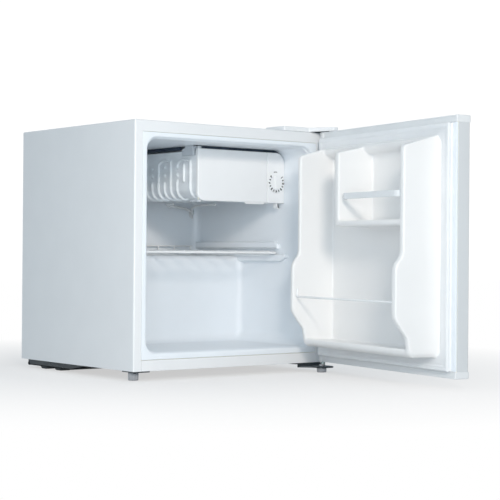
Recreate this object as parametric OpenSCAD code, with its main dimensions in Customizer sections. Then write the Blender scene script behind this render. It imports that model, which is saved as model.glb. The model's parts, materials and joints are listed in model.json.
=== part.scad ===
// Tabletop mini fridge with an ice box, a hinged door and a rear compressor bay.
// Origin: floor level, centre of the cabinet's footprint. The front faces -Y, +Z is up. Millimetres.

/* [Cabinet] */
// Width of the cabinet
cab_w = 472; // [460:1:500]
// Depth of the cabinet without the door
cab_d = 422; // [415:1:460]
// Height of the cabinet without its feet
cab_h = 478; // [470:1:520]
// Height of the cabinet's underside above the floor
foot_h = 18; // [16:1:22]
// Thickness of the modelled steel sheet
sheet = 1; // [0.8:0.1:1.2]
// Thickness of the plastic liners
liner_t = 2; // [1.5:0.1:2.5]

/* [Front opening] */
// Half width of the opening at the front lip
open_half_w = 206; // [200:1:207]
// Height of the opening's lower lip above the floor
open_z0 = 51.5; // [50:0.5:60]
// Height of the opening's upper lip above the floor
open_z1 = 464.5; // [455:0.5:466]
// Corner radius of the opening
open_r = 24; // [12:1:30]
// Width of the steel flange down each side
flange_w = 18; // [14:1:20]
// Height of the steel flange across the top
flange_top = 22; // [18:1:24]
// Height of the steel rail across the bottom
rail_h = 20.8; // [18:0.2:24]

/* [Interior] */
// Distance from the front plane to the rear liner wall
cavity_depth = 396; // [380:1:398]
// Distance from the front plane to the step over the compressor
step_y = 234; // [220:1:240]
// Height of the top of that step above the floor
step_z = 238; // [225:1:240]
// Height of the shelf rib that carries the wire shelf
rib_top = 242.2; // [240:0.1:244]

/* [Ice box] */
// Left edge of the ice box flap
flap_x0 = -25; // [-60:1:-20]
// Right edge of the flap, where the thermostat housing starts
flap_x1 = 156.4; // [140:0.1:160]
// Lower edge of the flap
flap_z0 = 349.8; // [340:0.1:360]
// Upper edge of the flap
flap_z1 = 456; // [440:0.1:456]
// Distance from the front plane to the flap's face
flap_set = 85; // [80:1:100]
// Depth of the aluminium box behind the flap
evaporator_d = 262; // [200:1:280]

/* [Door] */
// Angle at which the door stands open
door_open = 80; // [0:1:115]
// Width of the door
door_w = 472; // [460:1:500]
// Thickness of the door with its end caps
door_t = 32; // [28:1:36]
// Gap between the closed door's inner plane and the cabinet
door_gap = 11; // [10.8:0.1:13]
// Height of each plastic end cap
cap_h = 13; // [10:1:18]
// How far the door's side racks reach into the cabinet
dyke_d = 82; // [70:1:84]
// How far the bottle rack reaches into the cabinet
rack_d = 98; // [84:1:100]

/* [Controls and feet] */
// Radius of the thermostat knob
knob_r = 21; // [16:0.5:21.5]
// Radius of the front feet
foot_r = 10; // [8:0.5:12]

/* [Hidden] */
$fn = 48;
e = 0.01;                                // small overshoot that keeps cuts clean
seam = 0.3;                              // visible gap between neighbouring panels

// cabinet limits
hw = cab_w / 2;
front = -cab_d / 2;
back = cab_d / 2;
z0 = foot_h;
z1 = foot_h + cab_h;
wall_half_w = open_half_w - 3;           // liner walls behind the front lip
lip_d = 10;                              // depth of the wider front lip
floor_z = open_z0 + 1.5;
ceil_z = open_z1 - 2.5;
rear_wall = front + cavity_depth;
step_front = front + step_y;
rail_top = z0 + rail_h;
flange_z = z1 - flange_top;

// compressor bay
bay_front = step_front + 38;             // steel wall in front of the compressor
bay_top = step_z - 32;                   // steel ceiling over the compressor
bay_floor = 6.5;                         // top of the compressor base
base_t = 2;
base_half_w = 222;
base_front = -45;                        // where the base starts to slope down
base_flat = 35;                          // where it is level again

// compressor
comp_x = -62;
comp_y = 134;
comp_r = 56;
comp_z = 24;
comp_top = 168;
motor_gap = 0.6;
shaft_r = 8;
running = 0.05;                          // radial clearance of a running fit
grommet_h = 9;

// ice box
flap_y = front + flap_set;
flap_t = 8;
flap_r = 16;                             // rounding of its lower left corner
evap_t = 1.6;
evap_front = flap_y + flap_t + 3;
evap_back = evap_front + evaporator_d;
evap_z0 = flap_z0 + 2;
evap_z1 = flap_z1 - 2;
evap_x1 = flap_x1 - 4;
evap_r = 26;                             // bend of its lower left edge
pin_x = flap_x0 + 4;
pin_y = flap_y + flap_t / 2;
flap_pin_r = 1.5;

// thermostat
house_x0 = flap_x1 + 0.6;
house_x1 = wall_half_w - 0.3;
house_t = 2;
house_d = 62;
knob_x = 178.5;
knob_z = 393;
knob_t = 2.6;
grip_t = 4;
knob_shaft_r = 3;

// wire shelf
rail_r = 2.5;
wire_r = 1.5;
shelf_y0 = flap_y + 15;
shelf_y1 = rear_wall - 6;
shelf_half_w = 197;
shelf_z = rib_top + rail_r + 0.3;
wire_pitch = 44;

// door, drawn closed and then turned about its pins
pivot_x = hw - 9.7;
pivot_y = front - 15.7;
door_edge_x = pivot_x + 9.75;
door_y = front - door_gap;               // inner plane of the closed door
door_z0 = z0 + 2;
door_z1 = z1;
skin_t = 3;                              // how far the skin sits behind the caps' front
pin_r = 3;
bush_r = 5.5;
boss_r = 7.5;
flange_t = 1.8;
dyke_u0 = 48;
dyke_u1 = 59;
free_u0 = 411;
free_u1 = 425;
plateau_z0 = 50;
rack_z0 = 56;                            // underside of the bottle rack
plateau_z1 = 464;
box_u0 = 189;
box_u1 = 204;
box_floor_z0 = 296;
box_floor_z1 = 306.5;
rack_floor_z = 70;

// ---------- shared shapes ----------

// box from its lowest to its highest corner
module block(a, b) { translate(a) cube([b[0] - a[0], b[1] - a[1], b[2] - a[2]]); }

// rectangle with rounded corners, as exact arcs
module round_rect(a, b, r) {
    translate([a[0] + r, a[1]]) square([b[0] - a[0] - 2 * r, b[1] - a[1]]);
    translate([a[0], a[1] + r]) square([b[0] - a[0], b[1] - a[1] - 2 * r]);
    for (x = [a[0] + r, b[0] - r], y = [a[1] + r, b[1] - r]) translate([x, y]) circle(r);
}

// a shape drawn in X and Z, carried along Y from y0 to y1
module along_y(y0, y1) { translate([0, y1, 0]) rotate([90, 0, 0]) linear_extrude(y1 - y0) children(); }

// a shape drawn in Y and Z, carried along X from x0 to x1
module along_x(x0, x1) {
    translate([x0, 0, 0]) rotate([90, 0, 90]) linear_extrude(x1 - x0) children();
}

// straight rod between two points
module rod(a, b, r) {
    d = b - a;
    length = norm(d);
    translate(a) rotate([0, acos(d[2] / length), atan2(d[1], d[0])]) cylinder(h = length, r = r);
}

// tube along a list of points, with slightly fuller ball corners
module pipe(points, r) {
    for (i = [0:len(points) - 2]) rod(points[i], points[i + 1], r);
    if (len(points) > 2) for (i = [1:len(points) - 2]) translate(points[i]) sphere(r + 0.1);
}

// countersunk screw pointing down from a surface at height z
module screw_down(x, y, z, r, length) {
    translate([x, y, z]) cylinder(h = 1.8, r1 = 2 * r, r2 = 1.6 * r);
    translate([x, y, z - length]) cylinder(h = length + e, r = r);
}

// where a screw goes through a plate
module screw_hole(x, y, r) { translate([x, y, 0]) cylinder(h = 2 * z1, r = r); }

// the closed door's place, turned to its opening angle
module on_door() {
    translate([pivot_x, pivot_y, 0]) rotate([0, 0, door_open]) translate([-pivot_x, -pivot_y, 0])
        children();
}

// block on the closed door: u from its hinge edge, t outward from its inner plane, z up
module door_block(u0, u1, t0, t1, za, zb) {
    block([door_edge_x - u1, door_y - t1, za], [door_edge_x - u0, door_y - t0, zb]);
}

// ---------- cabinet ----------

top_screws = [[hw - 22, front + 34], [hw - 48, front + 34], [hw - 35, front + 52]];
bottom_screws = [[hw - 22, front + 30], [hw - 52, front + 30]];
rear_screws = [for (x = [-hw + 12, hw - 12], z = [bay_top + 14, z1 - 14]) [x, z]];
foot_left = [-hw + 15, front + 22];
foot_right = [hw - 29, front - 34];

module outer_wrap() color("whitesmoke") difference() {
    union() {
        block([-hw, front, z0], [-hw + sheet, back, z1]);
        block([hw - sheet, front, z0], [hw, back, z1]);
        block([-hw, front, z1 - sheet], [hw, back, z1]);
        for (x = [-hw, hw - flange_w]) block([x, front, z0], [x + flange_w, front + sheet, z1]);
        block([-hw, front, flange_z], [hw, front + sheet, z1]);
    }
    for (s = top_screws) screw_hole(s[0], s[1], 2);
    for (s = top_screws) screw_hole(-s[0], s[1], 3);
}

module front_cross_rail() color("whitesmoke") {
    x = hw - flange_w - seam;
    block([-x, front, z0], [x, front + sheet, rail_top]);
    block([-x, front + sheet, rail_top - sheet], [x, front + 12, rail_top]);
}

// floor sheet, then the step up over the compressor
module bottom_panel() color("gainsboro") difference() {
    union() {
        block([-hw + sheet, front + sheet, z0], [hw - sheet, bay_front, z0 + sheet]);
        block([-hw + sheet, bay_front - sheet, z0], [hw - sheet, bay_front, bay_top]);
        block([-hw + sheet, bay_front - sheet, bay_top - sheet], [hw - sheet, back - sheet, bay_top]);
    }
    for (s = bottom_screws) screw_hole(s[0], s[1], 2);
    translate([foot_left[0], foot_left[1], 0]) cylinder(h = 40, r = 5);
    translate([tube_x, channel_y, 0]) cylinder(h = z1, r = 4);
    translate([cap_x, cap_y, 0]) cylinder(h = z1, r = 2);
}

module rear_panel() color("lightgrey") difference() {
    block([-hw + sheet, back - sheet, bay_top - sheet], [hw - sheet, back, z1 - sheet]);
    for (s = rear_screws) translate([s[0], back + 0.1, s[1]]) rotate([90, 0, 0])
        cylinder(h = 1.8, r1 = 4, r2 = 2.2);
}

// countersunk, flush with the rear panel
module rear_panel_screws() color("silver") for (s = rear_screws)
    translate([s[0], back, s[1]]) rotate([90, 0, 0]) {
        cylinder(h = 9, r = 2);
        cylinder(h = 1.7, r1 = 3.8, r2 = 2.1);
    }

// outline of the cavity seen from the front
module cavity_outline(half_w, za, zb, r) round_rect([-half_w, za], [half_w, zb], r);

// side view of the cavity, with the step over the compressor cut out
module cavity_profile(grow) difference() {
    square_yz(front - 1, rear_wall + grow, floor_z - 20, ceil_z + 20);
    round_step(grow);
}
module square_yz(ya, yb, za, zb) translate([ya, za]) square([yb - ya, zb - za]);
module round_step(grow) {
    r = 12;
    ys = step_front + grow;
    zs = step_z - grow;
    translate([ys + r, 0]) square([200, zs]);
    translate([ys, 0]) square([200, zs - r]);
    translate([ys + r, zs - r]) circle(r);
}

module cavity(grow) {
    intersection() {
        along_y(front + lip_d, rear_wall + grow)
            cavity_outline(wall_half_w + grow, floor_z - grow, ceil_z + grow, open_r + grow);
        along_x(-hw, hw) cavity_profile(grow);
    }
}

// ribs on both side walls: the lower ones carry the wire shelf, the upper ones keep it down
rib_x = 193;
keeper_x = 195;
keeper_z0 = 253;
keeper_z1 = 269;
module wall_ribs() for (s = [0, 1]) mirror([s, 0, 0]) {
    along_x(rib_x, wall_half_w + 1) polygon([
        [flap_y - 12, rib_top], [rear_wall + 1, rib_top], [rear_wall + 1, step_z - 1],
        [step_front + 14, 227], [flap_y + 8, 227], [flap_y - 12, 234]]);
    along_x(keeper_x, wall_half_w + 1) polygon([
        [shelf_y0 - 2, keeper_z0], [rear_wall + 1, keeper_z0], [rear_wall + 1, keeper_z1],
        [shelf_y0 + 6, keeper_z1], [shelf_y0 - 2, keeper_z1 - 8]]);
}

module inner_liner() color("white") {
    difference() {
        union() {
            cavity(liner_t);
            along_y(front, front + lip_d) cavity_outline(open_half_w + liner_t,
                open_z0 - liner_t, open_z1 + liner_t, open_r + liner_t);
            block([-hw + flange_w + seam, front, rail_top + seam],
                [hw - flange_w - seam, front + liner_t, flange_z - seam]);
        }
        cavity(0);
        along_y(front - 1, front + lip_d + e) cavity_outline(open_half_w, open_z0, open_z1, open_r);
        translate([tube_x, rear_wall - 1, tube_z]) rotate([-90, 0, 0]) cylinder(h = 5, r = 7);
    }
    difference() {
        wall_ribs();
        for (s = [-1, 1]) block([s > 0 ? wall_half_w : -hw, front, 0],
            [s > 0 ? hw : -wall_half_w, back, z1]);
        block([-hw, rear_wall, 0], [hw, back, z1]);
        along_x(-hw, hw) round_step(0);
    }
}

// foam between the steel shell and the liner, with room for the hot-wall condenser
coil_pocket = 6;
coil_y0 = front + 60;
coil_y1 = back - 50;
coil_z0 = 232;
coil_z1 = 448;
channel_y = back - 9;
module cabinet_foam() color("khaki") difference() {
    block([-hw + sheet, front + liner_t, z0 + sheet], [hw - sheet, back - sheet, z1 - sheet]);
    block([-hw, front, z0], [hw, front + liner_t, z1]);
    cavity(liner_t);
    along_y(front, front + lip_d) cavity_outline(open_half_w + liner_t, open_z0 - liner_t,
        open_z1 + liner_t, open_r + liner_t);
    block([-hw, bay_front - sheet, 0], [hw, back + 1, bay_top]);
    block([-hw, front, rail_top - sheet], [hw, front + 12, rail_top]);
    for (s = [0, 1]) mirror([s, 0, 0]) block([hw - sheet - coil_pocket, coil_y0 - 8, coil_z0 - 8],
        [hw, coil_y1 + 8, coil_z1 + 8]);
    block([cap_x - 8, rear_wall + liner_t - e, bay_top - 1], [tube_x + 12, back, tube_z + 14]);
    for (s = top_screws) translate([s[0], s[1], z1 - 16]) cylinder(h = 20, r = 2);
    for (s = top_screws) translate([-s[0], s[1], z1 - 16]) cylinder(h = 20, r = 3);
    for (s = bottom_screws) translate([s[0], s[1], z0]) cylinder(h = 14, r = 5);
    translate([foot_left[0], foot_left[1], z0]) cylinder(h = 14, r = 8);
    for (s = rear_screws) translate([s[0], back, s[1]]) rotate([90, 0, 0]) {
        cylinder(h = 10, r = 2);
        cylinder(h = 2.5, r = 3);
    }
}

// ---------- compressor bay ----------

comp_feet = [for (x = [-1, 1], y = [-1, 1]) [comp_x + x * 62, comp_y + y * 40]];

module base_profile() polygon([[base_front, z0], [base_front, z0 - base_t],
    [base_flat, bay_floor - base_t], [back - 4, bay_floor - base_t], [back - 4, bay_floor],
    [base_flat, bay_floor], [base_front + 12, z0]]);
module cheek_profile() polygon([[base_front, z0], [base_front, z0 - base_t],
    [base_flat, bay_floor - base_t], [back - 4, bay_floor - base_t], [back - 4, z0]]);

module compressor_base() color("dimgray") difference() {
    union() {
        along_x(-base_half_w, base_half_w) base_profile();
        for (x = [-base_half_w, base_half_w - base_t]) along_x(x, x + base_t) cheek_profile();
        rod([-base_half_w, back - 6, 8], [-base_half_w + 30, back - 6, 8], 4.4);
        rod([base_half_w - 30, back - 6, 8], [base_half_w, back - 6, 8], 4.4);
    }
    for (f = comp_feet) translate([f[0], f[1], 0]) cylinder(h = 30, r = 3);
}

// two moulded feet under each rear corner
module rear_feet() color("black") for (s = [0, 1]) mirror([s, 0, 0]) {
    along_x(base_half_w - 22, base_half_w) polygon([[127, bay_floor - base_t], [133, 0],
        [153, 0], [157, bay_floor - base_t]]);
    along_x(base_half_w - 26, base_half_w - 2) polygon([[72, bay_floor - base_t], [78, 0],
        [100, 0], [105, bay_floor - base_t]]);
}

// half outline of the compressor's shell, in radius and height
module shell_outline(r, za, zb, dome) {
    translate([0, za + dome]) square([r, zb - za - 2 * dome]);
    intersection() {
        translate([0, za]) square([r, zb - za]);
        union() for (z = [za + dome, zb - dome]) translate([r - dome, z]) circle(dome);
    }
    translate([0, za]) square([r - dome, zb - za]);
}

module compressor_shell() color("black") {
    translate([comp_x, comp_y, 0]) difference() {
        union() {
            rotate_extrude($fn = 96) shell_outline(comp_r, comp_z, comp_top, 26);
            translate([0, 0, 92]) cylinder(h = 5, r = comp_r + 3);
        }
        rotate_extrude($fn = 96) shell_outline(comp_r - 3, comp_z + 3, comp_top - 3, 23);
    }
    // mounting plate with four ears
    difference() {
        block([comp_x - 72, comp_y - 50, comp_z - 3], [comp_x + 72, comp_y + 50, comp_z]);
        for (f = comp_feet) translate([f[0], f[1], 0]) cylinder(h = 40, r = 5);
    }
}

module compressor_stator() color("sandybrown") translate([comp_x, comp_y, 34]) difference() {
    union() {
        translate([0, 0, 16]) cylinder(h = 30, r = comp_r - 3.2);
        cylinder(h = 17, r = comp_r - 10.5);         // narrower where the shell rounds inwards
    }
    translate([0, 0, -1]) cylinder(h = 48, r = 27);
    for (a = [45:90:315]) rotate([0, 0, a]) translate([60, 0, -1]) cylinder(h = 48, r = 16);
}

// bearing block, cylinder and head, standing on the stator
module pump_block() color("slategray") translate([comp_x, comp_y, 80]) difference() {
    union() {
        block([-34, -34, 0], [34, 34, 16]);
        block([2, -17, 16], [46, 17, 50]);
        cylinder(h = 16, r = 18);
    }
    translate([0, 0, -1]) cylinder(h = 18, r = shaft_r + running);
    translate([0, 0, 33]) rotate([0, 90, 0]) cylinder(h = 38, r = 11);
    translate([0, 0, 15.8]) cylinder(h = 40, r = 15);
}

module compressor_rotor() color("silver") translate([comp_x, comp_y, 0]) {
    translate([0, 0, 36]) cylinder(h = 42, r = 27 - motor_gap);
    translate([0, 0, 34]) cylinder(h = 78, r = shaft_r);
    translate([3, 0, 98]) cylinder(h = 12, r = 5);
    translate([0, 0, 97]) cylinder(h = 4, r = 13);
}

module compressor_grommets() color("#303030") for (f = comp_feet)
    translate([f[0], f[1], bay_floor]) difference() {
        union() {
            cylinder(h = comp_z - 3 - bay_floor, r = grommet_h);
            cylinder(h = comp_z + 2 - bay_floor, r = 4.8);
        }
        translate([0, 0, -1]) cylinder(h = 30, r = 3);
    }

module compressor_bolts() color("silver") for (f = comp_feet) translate([f[0], f[1], 0]) {
    translate([0, 0, bay_floor - base_t]) cylinder(h = comp_z + 5 - bay_floor + base_t, r = 2.9);
    translate([0, 0, comp_z + 2.1]) cylinder(h = 1.2, r = 8);
    translate([0, 0, comp_z + 3.3]) cylinder(h = 4, r = 5.5, $fn = 6);
}

module relay_cover() color("#222222") {
    x = comp_x + comp_r + 3.2;
    difference() {
        block([x, comp_y - 24, 48], [x + 30, comp_y + 24, 112]);
        block([x - 1, comp_y - 22, 50], [x + 28, comp_y + 22, 110]);
    }
}

gland_x = 150;
module cord_gland() color("#1c1c1c") translate([gland_x, back - 4, 30]) rotate([90, 0, 0]) {
    difference() {
        union() {
            cylinder(h = 10, r = 7);
            translate([0, 0, -2]) cylinder(h = 3, r = 10);
        }
        translate([0, 0, -3]) cylinder(h = 20, r = 3.2);
    }
    block([-12, bay_floor - 30, 4], [12, -6.9, 7]);
}

tube_x = 190;                            // where the refrigerant tubes leave the cavity
tube_z = 332;
cap_x = 168;
cap_y = channel_y - 6;
module filter_drier() color("peru") {
    rod([60, 150, 62], [60, 150, 142], 9);
    translate([60, 150, 142]) cylinder(h = 12, r1 = 9, r2 = 2.2);
    translate([60, 150, 50]) cylinder(h = 12, r1 = 2.2, r2 = 9);
}
module discharge_tube() color("peru") pipe([[comp_x + 30, comp_y - 48.8, 130],
    [comp_x + 30, comp_y - 58, 130], [comp_x + 30, comp_y - 58, 190], [60, comp_y - 58, 190],
    [60, 150, 190], [60, 150, 154]], 2.2);

// suction line down the back, with the thin capillary that leaves it for the drier
module suction_tube() color("peru") {
    pipe([[tube_x, rear_wall + 1.3, tube_z], [tube_x, channel_y, tube_z], [tube_x, channel_y, 182],
        [comp_x + 40, channel_y, 182], [comp_x + 40, channel_y, 112],
        [comp_x + 40, comp_y + 42.3, 112]], 3);
    pipe([[tube_x, cap_y, tube_z], [cap_x, cap_y, tube_z], [cap_x, cap_y, 44], [60, cap_y, 44],
        [60, 150, 44], [60, 150, 50]], 1.2);
}

// serpentine of the hot-wall condenser, against both side sheets
coil_rows = [for (i = [0:6]) coil_z0 + i * (coil_z1 - coil_z0) / 6];
module condenser_coil() color("#3a3a3a") for (s = [0, 1]) mirror([s, 0, 0]) {
    x = hw - sheet - 2.4;
    for (i = [0:6]) rod([x, coil_y0, coil_rows[i]], [x, coil_y1, coil_rows[i]], 2.2);
    for (i = [0:5]) {
        y = i % 2 == 0 ? coil_y1 : coil_y0;
        rod([x, y, coil_rows[i]], [x, y, coil_rows[i + 1]], 2.2);
        for (k = [0, 1]) translate([x, y, coil_rows[i + k]]) sphere(2.2);
    }
}

// ---------- ice box ----------

// closed sheet box seen from the front, its lower edges bent round
module evaporator_outline(inset) {
    a = [flap_x0 + inset, evap_z0 + inset];
    b = [evap_x1 - inset, evap_z1 - inset];
    r = evap_r - inset;
    translate([a[0], a[1] + r]) square([b[0] - a[0], b[1] - a[1] - r]);
    translate([a[0] + r, a[1]]) square([b[0] - a[0] - 2 * r, b[1] - a[1]]);
    for (x = [a[0] + r, b[0] - r]) translate([x, a[1] + r]) circle(r);
}

module evaporator() color("#b9c2c9") {
    along_y(evap_front, evap_back) difference() {
        evaporator_outline(0);
        evaporator_outline(evap_t);
    }
    along_y(evap_back - evap_t, evap_back) evaporator_outline(evap_t - e);
}

hanger_len = 40;
module evaporator_hangers() color("whitesmoke") {
    for (y = [evap_front + 2, evap_back - hanger_len - 6]) {
        block([flap_x0 - 3, y, evap_z1 - 12], [flap_x0, y + hanger_len, evap_z1 + 0.2]);
        block([flap_x0 - 3, y, evap_z1], [flap_x0 + 14, y + hanger_len, evap_z1 + 3]);
        block([flap_x0 - 3, y + 4, evap_z1 + 3], [flap_x0 + 2, y + hanger_len - 4, ceil_z]);
    }
    // lugs that hold the flap's two pins
    difference() {
        union() {
            block([flap_x0, flap_y + 1, flap_z1 + 0.5], [flap_x0 + 9, evap_front + 8, flap_z1 + 4]);
            block([flap_x0, flap_y + 1, flap_z0 - 2.4], [flap_x0 + 9, evap_front + 14, flap_z0 + 1.8]);
        }
        translate([pin_x, pin_y, 0]) cylinder(h = z1, r = flap_pin_r + running);
        along_y(evap_front - 1, evap_back) evaporator_outline(-0.05);
    }
}

module evaporator_seal_strip() color("#4a5560")
    block([flap_x0 + 16, evap_front + 4, evap_z1 + 0.1], [evap_x1 - 4, evap_front + 12, ceil_z - 0.2]);

module evaporator_tubes() color("ghostwhite") {
    z = evap_z0 - 4;
    pipe([[40, 60, z], [40, 168, z], [tube_x, 168, z], [tube_x, 168, tube_z],
        [tube_x, rear_wall + 1, tube_z]], 3);
    pipe([[130, 20, z], [130, 160, z], [tube_x - 6, 160, z], [tube_x - 6, 160, tube_z + 5]], 2);
}

module tube_grommet() color("white") translate([tube_x, rear_wall, tube_z]) rotate([-90, 0, 0])
    difference() {
        union() {
            translate([0, 0, -1.5]) cylinder(h = 1.5, r = 11);
            cylinder(h = 5, r = 6.8);
        }
        translate([0, 0, -2]) cylinder(h = 10, r = 3.3);
    }

// ---------- thermostat ----------

module house_outline(inset) {
    translate([house_x0 + inset, flap_z0 + inset])
        square([house_x1 - house_x0 - 2 * inset, flap_z1 - flap_z0 - 22]);
    translate([house_x0 + inset, flap_z0 + inset])
        square([house_x1 - house_x0 - 22, flap_z1 - flap_z0 - 2 * inset]);
    translate([house_x1 - 22, flap_z1 - 22]) circle(22 - inset);
}

module thermostat_housing() color("white") difference() {
    union() {
        along_y(flap_y, flap_y + house_d) difference() {
            house_outline(0);
            house_outline(house_t);
        }
        along_y(flap_y, flap_y + house_t) house_outline(house_t - e);
        block([knob_x + 6, flap_y + 3, flap_z0 - 11], [knob_x + 8, flap_y + 15, flap_z0 + e]);
        block([knob_x + 8 - e, flap_y + 3, flap_z0 - 11], [knob_x + 14, flap_y + 15, flap_z0 - 9]);
        block([house_x0 + 6, flap_y + house_d - 14, flap_z1 - e],
            [house_x0 + 22, flap_y + house_d, ceil_z]);
    }
    translate([knob_x, flap_y - 1, knob_z]) rotate([-90, 0, 0]) cylinder(h = 5, r = 4);
    translate([house_x0 + 14, flap_y + house_d - 7, 0]) cylinder(h = z1, r = 1.6);
}

module housing_screw() color("silver") translate([house_x0 + 14, flap_y + house_d - 7, 0]) {
    translate([0, 0, flap_z1 - 4]) cylinder(h = ceil_z + liner_t - flap_z1 + 2, r = 1.6);
    translate([0, 0, flap_z1 - 5]) cylinder(h = 3 - e, r = 3);
}

module thermostat_control() color("#d8d8c8") difference() {
    block([knob_x - 16, flap_y + house_t, knob_z - 20], [knob_x + 16, flap_y + 34, knob_z + 20]);
    translate([knob_x, flap_y - 1, knob_z]) rotate([-90, 0, 0])
        cylinder(h = 20, r = knob_shaft_r + running);
}

// sensing tube from the control to the ice box's right wall
module thermostat_bulb() color("silver") {
    x = evap_x1 + 3.2;
    pipe([[knob_x - 8, flap_y + 34, knob_z], [knob_x - 8, flap_y + 70, knob_z],
        [x, flap_y + 70, knob_z], [x, flap_y + 200, knob_z]], 1.6);
}

// disc with a raised grip bar, and the shaft that enters the control
module thermostat_knob() color("white") translate([knob_x, flap_y - 0.4, knob_z]) rotate([90, 0, 0]) {
    cylinder(h = knob_t - 1, r = knob_r, $fn = 96);
    translate([0, 0, knob_t - 1]) cylinder(h = 1, r1 = knob_r, r2 = knob_r - 1);
    intersection() {
        translate([0, 0, knob_t]) cylinder(h = grip_t - 1, r = knob_r - 5);
        block([-5, -knob_r, 0], [5, knob_r, knob_t + grip_t]);
    }
    translate([0, 0, -16]) cylinder(h = 17, r = knob_shaft_r);
}

// ---------- moving parts inside ----------

module freezer_flap() color("white") difference() {
    union() {
        along_y(flap_y, flap_y + flap_t) {
            translate([flap_x0, flap_z0 + flap_r])
                square([flap_x1 - flap_x0, flap_z1 - flap_z0 - flap_r]);
            translate([flap_x0 + flap_r, flap_z0]) square([flap_x1 - flap_x0 - flap_r, flap_r + 2]);
            translate([flap_x0 + flap_r, flap_z0 + flap_r]) circle(flap_r);
        }
        block([95, flap_y + 0.5, flap_z0 - 3.5], [150, flap_y + 3, flap_z0 + e]);
    }
    // hollow back, leaving a rim
    block([flap_x0 + 10, flap_y + 2.5, flap_z0 + 14], [flap_x1 - 3, flap_y + flap_t + 1, flap_z1 - 3]);
    // room for the pins and the lower lug
    translate([pin_x, pin_y, 0]) cylinder(h = z1, r = flap_pin_r);
    block([flap_x0 - 1, flap_y - 1, 0], [flap_x0 + 11.5, flap_y + flap_t + 1, flap_z0 + 2.4]);
}

module flap_pins() color("silver") translate([pin_x, pin_y, 0]) {
    translate([0, 0, flap_z0 - 2.2]) cylinder(h = 14, r = flap_pin_r);
    translate([0, 0, flap_z1 - 10]) cylinder(h = 13.8, r = flap_pin_r);
}

// rod frame with a raised back rail and cross wires
shelf_back = 14;
module wire_shelf() color("white") {
    for (y = [shelf_y0 + rail_r, shelf_y1 - rail_r])
        rod([-shelf_half_w, y, shelf_z], [shelf_half_w, y, shelf_z], rail_r);
    for (s = [-1, 1]) rod([s * shelf_half_w, shelf_y0 + rail_r, shelf_z],
        [s * shelf_half_w, shelf_y1 - rail_r, shelf_z], rail_r);
    for (s = [-1, 1], y = [shelf_y0 + rail_r, shelf_y1 - rail_r])
        translate([s * shelf_half_w, y, shelf_z]) sphere(rail_r);
    n = floor(2 * (shelf_half_w - 12) / wire_pitch);
    for (i = [0:n]) {
        x = (i - n / 2) * wire_pitch;
        rod([x, shelf_y0 + rail_r, shelf_z + 2.6], [x, shelf_y1 - rail_r, shelf_z + 2.6], wire_r);
        rod([x, shelf_y1 - rail_r, shelf_z + 2.6], [x, shelf_y1 - rail_r, shelf_z + shelf_back], wire_r);
    }
    edge = n / 2 * wire_pitch + 6;
    rod([-edge, shelf_y1 - rail_r, shelf_z + shelf_back],
        [edge, shelf_y1 - rail_r, shelf_z + shelf_back], wire_r);
}

// ---------- hinges and feet ----------

module top_hinge_bracket() color("#5a5f63") difference() {
    union() {
        block([hw - 60, front + 6, z1], [hw - 4, front + 64, z1 + 2.5]);
        block([pivot_x - 9, front - 24, z1 + 1], [hw - 4, front + 8, z1 + 3.5]);
        block([pivot_x - 9, front + 6, z1], [hw - 4, front + 10, z1 + 3.5]);
    }
    for (s = top_screws) screw_hole(s[0], s[1], 2);
    translate([pivot_x, pivot_y, 0]) cylinder(h = 2 * z1, r = pin_r);
}
module top_hinge_pin() color("silver") translate([pivot_x, pivot_y, 0]) {
    translate([0, 0, door_z1 - 11]) cylinder(h = 15.4, r = pin_r);
    translate([0, 0, z1 + 3.5]) cylinder(h = 1.4, r = pin_r + 2);
}
module top_hinge_screws() color("silver") for (s = top_screws) screw_down(s[0], s[1], z1 + 2.5, 2, 15);

// moulded cover over the bracket, open below
module cover_outline(inset) polygon([[hw - 104 + inset, front + 2 + inset],
    [hw - 36 + inset / 2, front + 2 + inset], [hw - 11 + inset / 2, front - 47 + inset],
    [hw + 1 - inset, front - 47 + inset], [hw + 1 - inset, front + 74 - inset],
    [hw - 92 + inset, front + 74 - inset], [hw - 104 + inset, front + 62 - inset]]);
module top_hinge_cover() color("white") difference() {
    translate([0, 0, z1 + 0.3]) linear_extrude(9.2) cover_outline(0);
    translate([0, 0, z1 - 1]) linear_extrude(8.7) cover_outline(2);
    // the nose stays clear above the door
    block([0, front - 60, z1], [hw + 9, front - 0.5, z1 + 1.4]);
}

module lobe_outline() {
    polygon([[hw - 66, front + e], [hw - 4, front + e], [hw - 1, front - 20], [hw - 1, front - 38],
        [hw - 12, front - 48], [foot_right[0] - 4, front - 48], [hw - 44, front - 34]]);
}
module bottom_hinge_bracket() color("#33383b") difference() {
    union() {
        block([hw - 70, front, z0 - 2.6], [hw - 2, front + 48, z0]);
        block([hw - 66, front - 2.6, z0 - 9], [hw - 4, front + e, z0]);
        translate([0, 0, z0 - 9]) linear_extrude(3) lobe_outline();
    }
    for (s = bottom_screws) screw_hole(s[0], s[1], 2);
    translate([pivot_x, pivot_y, 0]) cylinder(h = 40, r = pin_r);
    translate([foot_right[0], foot_right[1], 0]) cylinder(h = 40, r = 3.2);
}
module bottom_hinge_pin() color("silver") translate([pivot_x, pivot_y, 0]) {
    translate([0, 0, z0 - 9]) cylinder(h = door_z0 - z0 + 9 + 10, r = pin_r);
    translate([0, 0, z0 - 6]) cylinder(h = 6.6, r = pin_r + 2);
}
module bottom_hinge_screws() color("silver") for (s = bottom_screws) translate([s[0], s[1], 0]) {
    translate([0, 0, z0 - 4.4]) cylinder(h = 1.8, r = 4);
    translate([0, 0, z0 - 2.7]) cylinder(h = 14, r = 2);
}

module left_foot_bracket() color("#33383b") difference() {
    block([-hw + 3, front, z0 - 2.4], [-hw + 40, front + 46, z0]);
    translate([foot_left[0], foot_left[1], 0]) cylinder(h = 40, r = 3.2);
}

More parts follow.
